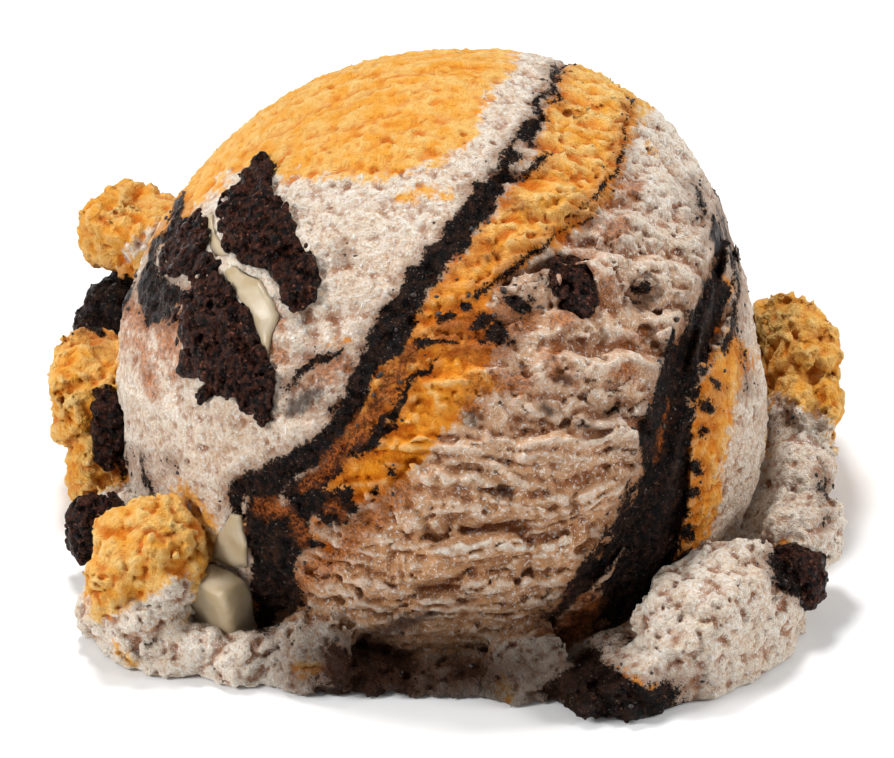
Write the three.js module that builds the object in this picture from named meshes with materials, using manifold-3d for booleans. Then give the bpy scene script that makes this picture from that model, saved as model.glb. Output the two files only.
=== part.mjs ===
// One scoop of ice cream: a ball on a ragged collar, with orange layers, cookie-crumb ripples,
// brownie chunks and white chocolate chunks. Millimetres, +Z up. The origin is the middle of the
// flat base, under the centre of the ball, and the front of the scoop faces -Y.
import * as THREE from "three";
import { mergeVertices } from "three/addons/utils/BufferGeometryUtils.js";
import Module from "manifold-3d";

const wasm = await Module();
wasm.setup();

// ---------------------------------------------------------------- driving dimensions
const BALL_RADIUS = 30;
const BALL_HEIGHT = 13.5; // of the ball's centre above the base
const GAP = 0.3; // between neighbouring pieces
const RIPPLE_FLOOR = 3; // layers and ripples end this far above the base
const CHUNK_PROUD = 0.5; // how far a chunk stands out of the ball
const FACE_TILT = THREE.MathUtils.degToRad(35); // the swirled face looks up by this angle

// Torn ledges that the scoop leaves round the ball, with lips that face up. Each has one row of
// the ball's grid at its foot and one at its crest, which is this far up to the next foot.
const LEDGE = { count: 37, crest: 0.82, height: 1.5, quiet: 0.2, wander: 2.6, patch: 9 };
const BALL_COLUMNS = 16; // from the left end of the ledges to the right end

// Ripples lean as they run through the ball, in mm sideways and up for each mm of depth.
const LEAN = { across: 0.16, up: -0.1 };

// Slow swells of the ball: direction on the face (right, up, out), amount and spread in mm.
const SWELLS = [
  { at: [0.57, 0.79, 0.2], amount: 1.2, spread: 11 },
  { at: [-0.72, 0.69, 0.1], amount: -0.8, spread: 15 },
  { at: [0.97, 0.2, -0.1], amount: -0.9, spread: 11 },
  { at: [0.95, -0.28, 0.15], amount: 0.9, spread: 11 },
  { at: [-0.3, -0.2, -0.93], amount: 0.9, spread: 16 },
];

// The collar of pressed-out ice cream round the ball's foot, by azimuth in degrees (0 is +X and
// 270 is the front): radius at the base, radius at the crest, and height of the crest.
const COLLAR_SEGMENTS = 56;
const COLLAR = [
  [0, 35.4, 36, 10.4], [12, 35.4, 35.2, 11], [24, 34.4, 33.6, 9.6], [33, 33.4, 32, 5],
  [48, 33.6, 32.4, 5.6], [66, 35.2, 33.8, 7.6], [84, 34.2, 33, 6.2], [100, 34, 32, 4.6],
  [118, 34.6, 33, 7], [132, 35, 33.4, 5], [144, 36.5, 35, 4.4], [158, 34.8, 33.6, 6.6],
  [172, 33.2, 32, 5], [188, 32.8, 31.6, 5.4], [203, 34, 33.2, 6.4], [214, 38, 37.6, 5.2],
  [224, 39, 38.4, 4.8], [236, 36, 35.4, 3.6], [246, 33.2, 32.4, 5], [256, 31.4, 30.8, 2.4],
  [266, 31.2, 30.8, 1.6], [277, 31.8, 31.2, 2.4], [286, 34, 33, 4], [293, 37, 36.4, 3],
  [300, 39, 38.6, 5], [311, 40.6, 40.2, 7.6], [321, 40.2, 40.4, 8], [331, 38.4, 38.6, 6.8],
  [341, 35.4, 35.2, 6.6], [350, 35.2, 35.8, 9.4],
];
// Its section, as fractions of those radii and of that height.
const COLLAR_SECTION = [
  [0, 0], [0.98, 0], [1, 0.16], [1.005, 0.55], [0.985, 0.88], [0.92, 1], [0.8, 0.86], [0, 0.86],
];

// ---------------------------------------------------------------- noise
// A repeatable number from 0 to 1 for each whole-numbered cell.
function cellValue(i, j, k, seed) {
  let h = Math.imul(i, 0x27d4eb2d) ^ Math.imul(j, 0x165667b1);
  h ^= Math.imul(k, 0x9e3779b1) ^ Math.imul(seed, 0x85ebca6b);
  h = Math.imul(h ^ (h >>> 15), 0x2c1b3c6d);
  h = Math.imul(h ^ (h >>> 12), 0x297a2d39);
  return ((h ^ (h >>> 15)) >>> 0) / 4294967296;
}

const ease = (t) => t * t * (3 - 2 * t);
const mix = (a, b, t) => a + (b - a) * t;
const ramp = (from, to, x) => ease(Math.min(1, Math.max(0, (x - from) / (to - from))));

// Smooth noise from -1 to 1 at a point, with features of the given size.
function noise(point, size, seed) {
  const [x, y, z] = [point.x / size, point.y / size, point.z / size];
  const [i, j, k] = [Math.floor(x), Math.floor(y), Math.floor(z)];
  const [a, b, c] = [ease(x - i), ease(y - j), ease(z - k)];
  const edge = (dj, dk) => mix(
    cellValue(i, j + dj, k + dk, seed), cellValue(i + 1, j + dj, k + dk, seed), a);
  const value = mix(mix(edge(0, 0), edge(1, 0), b), mix(edge(0, 1), edge(1, 1), b), c);
  return 2 * value - 1;
}

// ---------------------------------------------------------------- frames
// Face coordinates are right, up and out of the swirled face, measured from the ball's centre.
const FACE_TO_WORLD = new THREE.Matrix4().makeBasis(
  new THREE.Vector3(1, 0, 0),
  new THREE.Vector3(0, Math.sin(FACE_TILT), Math.cos(FACE_TILT)),
  new THREE.Vector3(0, -Math.cos(FACE_TILT), Math.sin(FACE_TILT)),
).setPosition(0, 0, BALL_HEIGHT);

// ---------------------------------------------------------------- solids
const solidOf = (geometry) => {
  geometry.deleteAttribute("normal");
  geometry.deleteAttribute("uv");
  const merged = mergeVertices(geometry, 1e-3);
  return new wasm.Manifold(new wasm.Mesh({
    numProp: 3,
    vertProperties: merged.attributes.position.array,
    triVerts: new Uint32Array(merged.index.array),
  }));
};

const geometryOf = (solid) => {
  const { numProp, vertProperties, triVerts } = solid.getMesh();
  const corners = vertProperties.length / numProp;
  const position = new Float32Array(corners * 3);
  for (let i = 0; i < corners; i++) {
    position.set(vertProperties.subarray(i * numProp, i * numProp + 3), i * 3);
  }
  const geometry = new THREE.BufferGeometry();
  geometry.setAttribute("position", new THREE.BufferAttribute(position, 3));
  geometry.setIndex(new THREE.BufferAttribute(triVerts, 1));
  geometry.computeVertexNormals();
  return geometry;
};

// Moves every vertex by a function of its position.
function reshape(geometry, move) {
  const { position } = geometry.attributes;
  const point = new THREE.Vector3();
  for (let i = 0; i < position.count; i++) {
    move(point.fromBufferAttribute(position, i));
    position.setXYZ(i, point.x, point.y, point.z);
  }
  return geometry;
}

const unionOf = (solids) => solids.reduce((all, next) => all.add(next));
const without = (solid, cutters) => cutters.reduce((left, cutter) => left.subtract(cutter), solid);
const largestOf = (solid) => solid.decompose().reduce((a, b) => (a.volume() > b.volume() ? a : b));

const SLAB = 120; // side of the blocks that trim pieces at a level
const blockBelow = (z) => solidOf(
  new THREE.BoxGeometry(SLAB, SLAB, SLAB).translate(0, 0, z - SLAB / 2));

// ---------------------------------------------------------------- the ball
// How much the scoop has torn the surface: fully right of the centre ripple, little left of it.
function tornness(p) {
  const rightOfRipple = p.x - 0.567 * p.y + 4.7;
  const front = mix(LEDGE.quiet, 1, ramp(-3, 4, rightOfRipple));
  const sides = 1 - 0.85 * ramp(20, 28, Math.abs(p.x));
  return mix(0.75, front, ramp(-8, 4, p.z)) * sides;
}

// Moves a point of the grid along the surface to its ledge, and returns how far the ledge stands
// out there.
function onLedge(p) {
  const rows = 2 * LEDGE.count;
  const row = Math.round(Math.atan2(p.y, p.z) / (2 * Math.PI) * rows);
  const isCrest = row % 2 !== 0;
  const patches = 0.65 + 0.35 * noise(p, LEDGE.patch * 0.6, 5);
  const height = LEDGE.height * tornness(p) * patches * (isCrest ? 0.5 : -0.5);
  const wander = LEDGE.wander * noise(p, LEDGE.patch, 3) / BALL_RADIUS;
  const shift = isCrest ? 2 * LEDGE.crest - 1 : 0;
  const angle = (row + shift) / rows * 2 * Math.PI + wander;
  const reach = Math.hypot(p.y, p.z);
  p.set(p.x, reach * Math.sin(angle), reach * Math.cos(angle));
  return height;
}

function swell(p) {
  return SWELLS.reduce((sum, { at, amount, spread }) => {
    const away = p.distanceTo(new THREE.Vector3(...at).setLength(BALL_RADIUS)) / spread;
    return sum + amount * Math.exp(-away * away);
  }, 0);
}

function ball(grow) {
  const grid = new THREE.SphereGeometry(BALL_RADIUS, 2 * LEDGE.count, BALL_COLUMNS);
  grid.rotateZ(-Math.PI / 2); // poles left and right, so that rows run across the face
  reshape(grid, (p) => {
    const ledge = onLedge(p);
    const broad = 0.45 * noise(p, 13, 1) + 0.25 * noise(p, 6, 2);
    const relief = swell(p) + broad + ledge;
    p.setLength(BALL_RADIUS + relief + grow).applyMatrix4(FACE_TO_WORLD);
  });
  return solidOf(grid).subtract(blockBelow(0));
}

// A plain ball that clears every ledge.
const clearOfBall = () => solidOf(
  new THREE.SphereGeometry(BALL_RADIUS + LEDGE.height, 32, 20).translate(0, 0, BALL_HEIGHT));

// ---------------------------------------------------------------- sheets through the ball
// How far the face stands out at a point of it, a little blunter than the ball itself.
const faceHeight = ({ x, y }) => BALL_RADIUS * (1 - 0.75 * (x * x + y * y) / BALL_RADIUS ** 2);

// A closed outline on the face, carried back through the ball and leaning as it goes.
function sheet(outline, { front = 34, back = -34, lean = LEAN } = {}) {
  const shape = new THREE.Shape(outline.map(([x, y]) => new THREE.Vector2(x, y)));
  const prism = new THREE.ExtrudeGeometry(shape, { depth: front - back, bevelEnabled: false });
  prism.translate(0, 0, back);
  reshape(prism, (p) => {
    const depth = faceHeight(p) - p.z;
    p.x += lean.across * depth;
    p.y += lean.up * depth;
    p.applyMatrix4(FACE_TO_WORLD);
  });
  return solidOf(prism);
}

// The outline of a ribbon from its centre line, given as [right, up, width].
function ribbon(line, grow) {
  const curve = new THREE.CatmullRomCurve3(line.map((p) => new THREE.Vector3(...p)));
  const count = Math.ceil(1.4 * line.length);
  const [left, right] = [[], []];
  for (let i = 0; i < count; i++) {
    const t = i / (count - 1);
    const { x, y, z } = curve.getPoint(t);
    const along = curve.getTangent(t).setZ(0).normalize();
    const half = z / 2 + grow;
    const end = i === 0 ? -grow : i === count - 1 ? grow : 0;
    left.push([x - along.y * half + along.x * end, y + along.x * half + along.y * end]);
    right.unshift([x + along.y * half + along.x * end, y - along.x * half + along.y * end]);
  }
  return [...left, ...right];
}

// An outline moved outwards by grow, with mitred corners.
function widened(outline, grow) {
  const at = (i) => new THREE.Vector2(...outline[(i + outline.length) % outline.length]);
  const turn = THREE.ShapeUtils.area(outline.map((_, i) => at(i))) > 0 ? 1 : -1;
  const normal = (a, b) => {
    const edge = b.clone().sub(a).normalize();
    return new THREE.Vector2(turn * edge.y, -turn * edge.x);
  };
  return outline.map((_, i) => {
    const sum = normal(at(i - 1), at(i)).add(normal(at(i), at(i + 1)));
    const reach = grow / Math.max(0.4, sum.length() / 2);
    return at(i).addScaledVector(sum.normalize(), reach).toArray();
  });
}

// Two dark ripples of cookie crumb that cross the face, each with a branch.
const COOKIE_RIPPLES = {
  cookie_ripple_centre: [
    [[10.9, 31, 1.2], [10, 25, 1], [8.3, 21.8, 1.7], [6.3, 18.5, 2], [2.6, 13.3, 2.9],
      [0.5, 10.9, 3.3], [-1.9, 7.8, 3.3], [-4.2, 4.2, 3], [-6.3, 1.3, 2.7], [-8.1, -1.8, 2.5],
      [-9.7, -5, 2.4], [-12.9, -8.3, 2.6], [-15.6, -10.4, 3.4], [-16.4, -14, 3.2],
      [-15, -18, 3.6], [-13.4, -21, 2.4]],
    [[-0.7, 1.5, 0.9], [-3.2, -1.8, 1.3], [-5.5, -4.5, 1.5], [-8.8, -7.3, 1.7],
      [-11.3, -10.1, 2.2], [-12.9, -12.9, 2.8], [-14.4, -16, 3]],
  ],
  cookie_ripple_right: [
    [[25.8, 18, 1.3], [26.1, 12.5, 1.7], [25.9, 9.3, 2.2], [25, 6.5, 2.6], [23.6, 3.8, 3.3],
      [22.1, 1, 3.8], [20.9, -1.8, 4.2], [20.3, -5, 4.5], [19.5, -8.2, 4.7], [18.9, -11.6, 4.8],
      [18.4, -16.5, 4.3], [16.8, -21, 3.8], [14.8, -26, 3.4]],
    [[19.2, -9.5, 2.6], [16.8, -14.4, 2.4], [13.8, -18.8, 2], [10.5, -22.2, 1.4]],
  ],
};

// Layers of orange ice cream, as outlines on the face.
const ORANGE_LAYERS = {
  orange_layer_top: [
    [-27, 12], [-23.5, 14.2], [-20.5, 16.4], [-17.5, 18.6], [-13.5, 17.2], [-9.8, 17.8],
    [-6.8, 16.4], [-3.2, 17], [0.5, 18.6], [3.2, 21], [4.8, 24.8], [6.2, 28], [6.8, 33],
    [-14, 35], [-33, 22], [-32, 12],
  ],
  orange_layer_centre: [
    [11.5, 32], [16, 31], [19.4, 25.4], [17.8, 20.8], [16.8, 17.2], [14.6, 14.2], [12.2, 12.4],
    [9.4, 10.7], [6.3, 9], [4.6, 6.5], [5.6, 3.6], [4, 0.8], [6, -1], [2, -3.6], [-1, -7.4],
    [-4, -10.4], [-8.6, -11.6], [-10.6, -10.4], [-8.4, -3], [-5, 2], [-0.6, 7.8], [3.6, 12.6],
    [7.6, 18], [10.4, 25],
  ],
  orange_layer_right: [
    [26.6, 4], [28.6, 2.2], [27.4, -2.2], [26.6, -6], [26, -9.6], [25.5, -13.3], [24.6, -16.5],
    [22.8, -20], [20.6, -23.6], [18.2, -26.4], [16, -26], [20, -17], [22, -8], [23.5, -1],
  ],
};

// Chunks set into the face, as outlines on it, with how deep each one goes in.
const CHUNKS = {
  brownie_upper: {
    depth: 7,
    outline: [
      [-18.6, 18.3], [-16.4, 19.7], [-15.5, 18.8], [-15.7, 17.2], [-14.3, 14.9], [-12.9, 12.6],
      [-11.3, 10.2], [-10.9, 7.9], [-11.8, 6.6], [-13.1, 5.9], [-14.1, 6.6], [-14.6, 8.4],
      [-15.9, 9.8], [-18, 10.5], [-19.6, 12.6], [-19.9, 14.9], [-19.2, 16.7],
    ],
  },
  brownie_lower: {
    depth: 8,
    outline: [
      [-23.5, 5.6], [-21.7, 8.6], [-20.2, 9.9], [-19.6, 9.4], [-18.9, 7.8], [-17.4, 5.9],
      [-16.6, 3.4], [-15.8, 1.8], [-14.8, -0.8], [-15.1, -3.1], [-16.1, -3.9], [-17.4, -3.1],
      [-18.4, -1.9], [-20, -1.8], [-21.7, -2.2], [-21.9, -1.2], [-21, -0.6], [-23, 0.6],
      [-23.8, 2.1],
    ],
  },
  brownie_small: {
    depth: 6,
    outline: [
      [-25.1, 11.5], [-24, 12.6], [-23.6, 13.7], [-21.9, 14.7], [-21.3, 13.8], [-21.3, 11.7],
      [-20.9, 10.4], [-22.7, 9.2], [-24, 9.4], [-25, 9.8],
    ],
  },
  brownie_face: {
    depth: 4,
    outline: [
      [10.2, 10.4], [11.3, 10], [13.2, 10.2], [13.9, 9.2], [13.9, 6], [13, 4.9], [11.3, 6],
      [10.5, 7.6], [10.9, 8.7],
    ],
  },
  cookie_patch_left: {
    depth: 5,
    outline: [
      [-24.6, 16.4], [-25.4, 13.6], [-27.2, 11.4], [-27.6, 8.2], [-26.2, 5.2], [-24.2, 5.6],
      [-23.2, 7.2], [-24.6, 8.8], [-25.6, 9.6], [-25.4, 11.8], [-24.2, 13.6],
    ],
  },
  white_chunk_upper: {
    depth: 4,
    outline: [
      [-21.6, 14.9], [-20.6, 14.8], [-20.3, 12.8], [-19.6, 12], [-18.9, 10.9], [-20.2, 10.7],
      [-20.8, 11.5], [-21, 13.2],
    ],
  },
  white_chunk_middle: {
    depth: 6,
    outline: [
      [-19.5, 9.6], [-18.5, 10.1], [-17.4, 9.3], [-16, 8.7], [-15.4, 7.4], [-14.9, 6.7],
      [-14.4, 5.4], [-15, 3.4], [-15.5, 1.9], [-16.3, 2.9], [-16.9, 5.2], [-18.2, 7.2],
      [-19.1, 8.4],
    ],
  },
  white_chunk_front: {
    depth: 5,
    outline: [
      [-20.4, -15.2], [-18.9, -12.4], [-17.9, -12.6], [-17.4, -15.6], [-17.3, -17.4],
      [-19, -17.4], [-21, -16.8],
    ],
  },
};

// ---------------------------------------------------------------- lumps of the collar
const LARGE_LUMP = 3.3; // half size over which a lump is drawn with more faces

// A rough rounded block beside the ball. It is bent round the ball's axis, so a long one is a
// flap. half is its half size outwards, along the collar and up; power 2 is round, 4 is boxy.
function lump({ azimuth, radius, z, half, power = 2.6, rough = 0.18, lean = 0, seed }, grow = 0) {
  const [outwards, along, up] = half.map((size) => size + grow);
  const detail = Math.max(...half) > LARGE_LUMP ? 2 : 1;
  const blob = new THREE.IcosahedronGeometry(1, detail);
  reshape(blob, (p) => {
    const total = Math.abs(p.x) ** power + Math.abs(p.y) ** power + Math.abs(p.z) ** power;
    p.multiplyScalar(total ** (-1 / power));
    p.set(p.x * outwards, p.y * along, p.z * up);
    const torn = 1 + rough * (noise(p, 2.6, seed) + 0.7 * noise(p, 5, seed + 50));
    p.multiplyScalar(torn);
    const turn = THREE.MathUtils.degToRad(azimuth) + p.y / radius;
    const out = radius + p.x + lean * p.z;
    p.set(out * Math.cos(turn), out * Math.sin(turn), z + p.z);
  });
  return solidOf(blob);
}

// Loose lumps of the collar's plain ice cream, which is one piece with the ball.
const PLAIN_LUMPS = [
  { azimuth: 335, radius: 36.6, z: 6.6, half: [3, 3.2, 3.3], seed: 12 },
  { azimuth: 314, radius: 35.4, z: 6, half: [4.4, 7.4, 4.6], seed: 14 },
  { azimuth: 285, radius: 30.4, z: 2.4, half: [3, 3, 3.2], seed: 15 },
  { azimuth: 249, radius: 30, z: 2.6, half: [3.2, 3.4, 3.4], seed: 17 },
  { azimuth: 220, radius: 36, z: 3.4, half: [4.4, 4.8, 3.8], seed: 19 },
];

// Lumps of another colour on the collar: each is a piece of its own, built from one or two blocks.
const COLOURED_LUMPS = {
  orange_block_back_left: [
    { azimuth: 140, radius: 37, z: 13, half: [4.6, 3.6, 3.8], power: 3.4, rough: 0.12, seed: 31 },
  ],
  cookie_lump_back_left: [
    { azimuth: 144, radius: 35.7, z: 5.2, half: [4.4, 4.8, 4.4], seed: 32 },
  ],
  orange_flap_left: [
    { azimuth: 177, radius: 32.4, z: 10.8, half: [3.6, 4.8, 4.8], seed: 33 },
    { azimuth: 181, radius: 31.2, z: 4.4, half: [3.2, 4.4, 4.6], seed: 34 },
  ],
  orange_lump_front_left: [
    { azimuth: 219.5, radius: 34.2, z: 8.6, half: [5, 4.8, 4.6], rough: 0.24, seed: 35 },
  ],
  orange_rim_right: [
    { azimuth: 9, radius: 33.6, z: 8.2, half: [3.4, 8.4, 7], power: 3, lean: 0.1, seed: 36 },
  ],
  orange_lump_back: [
    { azimuth: 97, radius: 32.6, z: 6.4, half: [4, 6, 4.6], seed: 37 },
  ],
  cookie_lump_front: [
    { azimuth: 256, radius: 29.8, z: 1, half: [2.6, 3.4, 1.8], seed: 38 },
  ],
  cookie_rim_front: [
    { azimuth: 298, radius: 35.2, z: 1.2, half: [3.6, 5, 2], seed: 39 },
  ],
  brownie_chip_left: [
    { azimuth: 201, radius: 33.6, z: 4.8, half: [2.4, 1.6, 2.6], power: 3.6, rough: 0.1, seed: 40 },
  ],
  brownie_slab_left: [
    { azimuth: 187, radius: 30.6, z: 10.2, half: [1.5, 1.4, 3.2], power: 3.6, rough: 0.08, seed: 41 },
  ],
  brownie_right: [
    { azimuth: 329, radius: 38, z: 5, half: [2.6, 2.2, 2.6], power: 3.2, seed: 42 },
  ],
  white_chunk_base: [
    { azimuth: 230, radius: 31, z: 4.8, half: [2, 2.6, 3.3], power: 7, rough: 0.03, lean: 0.2, seed: 43 },
  ],
};

// A value of the collar's table at any azimuth, eased from one row to the next.
function collarAt(azimuth, column) {
  const row = COLLAR.findLastIndex(([start]) => start <= azimuth);
  const next = COLLAR[(row + 1) % COLLAR.length];
  const span = next[0] + (row + 1 === COLLAR.length ? 360 : 0) - COLLAR[row][0];
  return mix(COLLAR[row][column], next[column], ease((azimuth - COLLAR[row][0]) / span));
}

// The collar and the flat base that it shares with the ball.
function collar() {
  const section = COLLAR_SECTION.map(([r, z]) => new THREE.Vector2(r, z));
  const ring = new THREE.LatheGeometry(section, COLLAR_SEGMENTS).rotateX(Math.PI / 2);
  reshape(ring, (p) => {
    const azimuth = (THREE.MathUtils.radToDeg(Math.atan2(p.y, p.x)) + 360) % 360;
    const [base, crest, height] = [1, 2, 3].map((column) => collarAt(azimuth, column));
    const radius = mix(base, crest, p.z);
    const flat = p.clone().multiply(new THREE.Vector3(radius, radius, height));
    const torn = 0.9 * noise(flat, 3.1, 61) + 0.7 * noise(flat, 6, 62);
    const lift = 0.8 * noise(flat, 4, 63) * Math.min(1, height / 4);
    const outwards = 1 + torn / radius;
    const up = p.z > 0.01 ? Math.max(0.5, flat.z + lift * p.z) : 0;
    p.set(flat.x * outwards, flat.y * outwards, up);
  });
  return solidOf(ring);
}

// ---------------------------------------------------------------- assembly
const COLOURS = {
  vanilla: { color: 0xe2d1be, roughness: 0.6 },
  orange: { color: 0xedb85d, roughness: 0.55 },
  cookie: { color: 0x221814, roughness: 0.5 },
  brownie: { color: 0x2d1e18, roughness: 0.4 },
  white: { color: 0xd9d3b4, roughness: 0.45 },
};

const scoop = new THREE.Group();

function place(name, solid) {
  const colour = COLOURS[name.split("_")[0]];
  const material = new THREE.MeshStandardMaterial({ metalness: 0, ...colour });
  const mesh = new THREE.Mesh(geometryOf(solid), material);
  mesh.name = name;
  scoop.add(mesh);
}

const plainBall = ball(0);
const ballClearance = clearOfBall();
const proudBall = ball(CHUNK_PROUD);
const belowRipples = blockBelow(RIPPLE_FLOOR);
const belowBase = blockBelow(0);

// Chunks and their sockets, which are wider by the gap.
const chunkSheet = ({ depth, outline }, grow) => {
  const centre = outline.reduce((sum, [x, y]) => sum.add(new THREE.Vector2(x, y)), new THREE.Vector2());
  centre.divideScalar(outline.length);
  const surface = Math.sqrt(BALL_RADIUS ** 2 - centre.lengthSq());
  const noLean = { across: 0, up: 0 };
  return sheet(widened(outline, grow), {
    back: surface - depth - grow, front: surface + 9, lean: noLean,
  });
};
const sockets = [];
for (const [name, chunk] of Object.entries(CHUNKS)) {
  const solid = without(chunkSheet(chunk, 0).intersect(proudBall), sockets);
  place(name, largestOf(solid));
  sockets.push(chunkSheet(chunk, GAP));
}

// Ripples, then the orange layers between them.
const ripple = (lines, grow) => unionOf(lines.map((line) => sheet(ribbon(line, grow))));
const channels = [];
for (const [name, lines] of Object.entries(COOKIE_RIPPLES)) {
  const solid = ripple(lines, 0).intersect(plainBall).subtract(belowRipples);
  place(name, largestOf(without(solid, [...sockets, ...channels])));
  channels.push(ripple(lines, GAP).subtract(blockBelow(RIPPLE_FLOOR - GAP)));
}
for (const [name, outline] of Object.entries(ORANGE_LAYERS)) {
  const solid = sheet(outline).intersect(plainBall).subtract(belowRipples);
  place(name, largestOf(without(solid, [...sockets, ...channels])));
  channels.push(sheet(widened(outline, GAP)).subtract(blockBelow(RIPPLE_FLOOR - GAP)));
}

// Coloured lumps round the ball, then the plain ice cream that holds everything.
const beds = [];
for (const [name, blocks] of Object.entries(COLOURED_LUMPS)) {
  const solid = unionOf(blocks.map((block) => lump(block)));
  place(name, largestOf(without(solid, [ballClearance, belowBase, ...beds])));
  beds.push(unionOf(blocks.map((block) => lump(block, GAP))));
}
const plainLumps = PLAIN_LUMPS.map((block) => lump(block));
const skirt = without(unionOf([collar(), ...plainLumps]), [belowBase, ...beds]);
place("vanilla_scoop", largestOf(without(plainBall.add(skirt), [...sockets, ...channels])));

export default scoop;
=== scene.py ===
"""One scoop of ice cream: plain and orange ice cream, cookie-crumb ripples, brownie and white chocolate.

Every piece is a field, a function of place that is negative inside the food. Its surface is drawn
as a mesh by a surface net, so that ledges, crags and pores are real shapes. Sizes are millimetres
until a mesh is made. Face coordinates are right, up and out of the swirled face, from the centre
of the ball; the camera looks straight at that face.
"""

import itertools
import math
from concurrent.futures import ThreadPoolExecutor

import bmesh
import bpy
import numpy as np
from mathutils import Matrix, Vector


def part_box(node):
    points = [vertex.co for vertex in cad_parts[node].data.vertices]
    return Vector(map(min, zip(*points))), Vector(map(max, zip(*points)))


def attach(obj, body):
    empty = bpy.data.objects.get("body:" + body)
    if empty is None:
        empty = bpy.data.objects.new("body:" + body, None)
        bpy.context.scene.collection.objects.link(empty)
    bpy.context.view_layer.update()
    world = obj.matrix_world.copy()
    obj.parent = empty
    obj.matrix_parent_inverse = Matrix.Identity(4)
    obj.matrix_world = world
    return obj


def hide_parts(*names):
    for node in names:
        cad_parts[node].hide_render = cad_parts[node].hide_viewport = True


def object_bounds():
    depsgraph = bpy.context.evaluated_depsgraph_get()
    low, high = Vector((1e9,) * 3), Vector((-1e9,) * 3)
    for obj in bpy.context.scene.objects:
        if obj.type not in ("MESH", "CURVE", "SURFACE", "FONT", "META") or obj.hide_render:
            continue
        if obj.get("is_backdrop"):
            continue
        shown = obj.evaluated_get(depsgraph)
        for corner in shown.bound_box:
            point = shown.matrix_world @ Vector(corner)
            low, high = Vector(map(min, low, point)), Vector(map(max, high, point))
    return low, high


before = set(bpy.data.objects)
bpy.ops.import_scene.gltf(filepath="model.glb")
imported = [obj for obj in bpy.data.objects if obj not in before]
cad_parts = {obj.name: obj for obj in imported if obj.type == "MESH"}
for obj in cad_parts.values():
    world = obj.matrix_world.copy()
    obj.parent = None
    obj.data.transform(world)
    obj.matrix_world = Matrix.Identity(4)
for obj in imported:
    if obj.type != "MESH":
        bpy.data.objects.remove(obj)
cad_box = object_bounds()

MM = 0.001
STEP = 0.26  # of the surface nets' grids
CHUNK_STEP = 0.2
THREADS = 4
FAR = 9.0  # stands for far outside a mark
HOLLOW_REACH = 1.3  # how wide a hollow may be to count as one in the colours, which lay painted shade in hollows and a painted highlight on crests
COARSE_CRUMB, FINE_CRUMB = 1.5, 0.7  # widths of the crumbs that the torn surface breaks into
COLLAR_CRUMB, COOKIE_CRUMB = 2.5, 1.1
LOOSE_CRUMBS = {"count": 500, "least": 0.11, "spread": 0.24}  # with radii from the least upwards
CHUNK_CRUMBS = (1.7, 0.8)  # widths of the brownies' crumbs
COLLAR_TOP = 16.0  # nothing of the collar's body is higher
TEAR_REACH = 2.2  # how far from the rough shape the surface may be torn
LUMP_MARGIN = 3.0  # around a lump, where it still changes what is beside it
PIECE_MARGIN = 1.5  # around a solid's box, for the grid of its visible piece

# ---------------------------------------------------------------- the scoop's own dimensions
BALL_RADIUS = 30.0
BALL_HEIGHT = 13.5  # of the ball's centre above the base
FACE_TILT = math.radians(35)
# Torn ledges: how many go round the ball, how high they are, how much of them is left where the
# ball is smooth, how far their lines wander, and how wide the patches are in which they vary.
LEDGES = {"count": 37, "height": 1.5, "quiet": 0.2, "wander": 2.6, "patch": 9}
LEAN = (0.16, -0.1)  # of the layers, sideways and up for each mm of depth

# Slow swells of the ball: direction on the face, amount and spread.
SWELLS = [
    ((0.57, 0.79, 0.2), 1.2, 11),
    ((-0.72, 0.69, 0.1), -0.8, 15),
    ((0.97, 0.2, -0.1), -0.9, 11),
    ((0.95, -0.28, 0.15), 0.9, 11),
    ((-0.3, -0.2, -0.93), 0.9, 16),
]

# The collar by azimuth: radius at the base, radius at the crest, height of the crest.
COLLAR = np.array([
    (0, 35.4, 36, 10.4), (12, 35.4, 35.2, 11), (24, 34.4, 33.6, 9.6), (33, 33.4, 32, 5),
    (48, 33.6, 32.4, 5.6), (66, 35.2, 33.8, 7.6), (84, 34.2, 33, 6.2), (100, 34, 32, 4.6),
    (118, 34.6, 33, 7), (132, 35, 33.4, 5), (144, 36.5, 35, 4.4), (158, 34.8, 33.6, 6.6),
    (172, 33.2, 32, 5), (188, 32.8, 31.6, 5.4), (203, 34, 33.2, 6.4), (214, 38, 37.6, 5.2),
    (224, 39, 38.4, 4.8), (236, 36, 35.4, 3.6), (246, 33.2, 32.4, 5), (256, 31.4, 30.8, 2.4),
    (266, 31.2, 30.8, 1.6), (277, 31.8, 31.2, 2.4), (286, 34, 33, 4), (293, 37, 36.4, 3),
    (300, 39, 38.6, 5), (311, 40.6, 40.2, 7.6), (321, 40.2, 40.4, 8), (331, 38.4, 38.6, 6.8),
    (341, 35.4, 35.2, 6.6), (350, 35.2, 35.8, 9.4), (360, 35.4, 36, 10.4),
])

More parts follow.
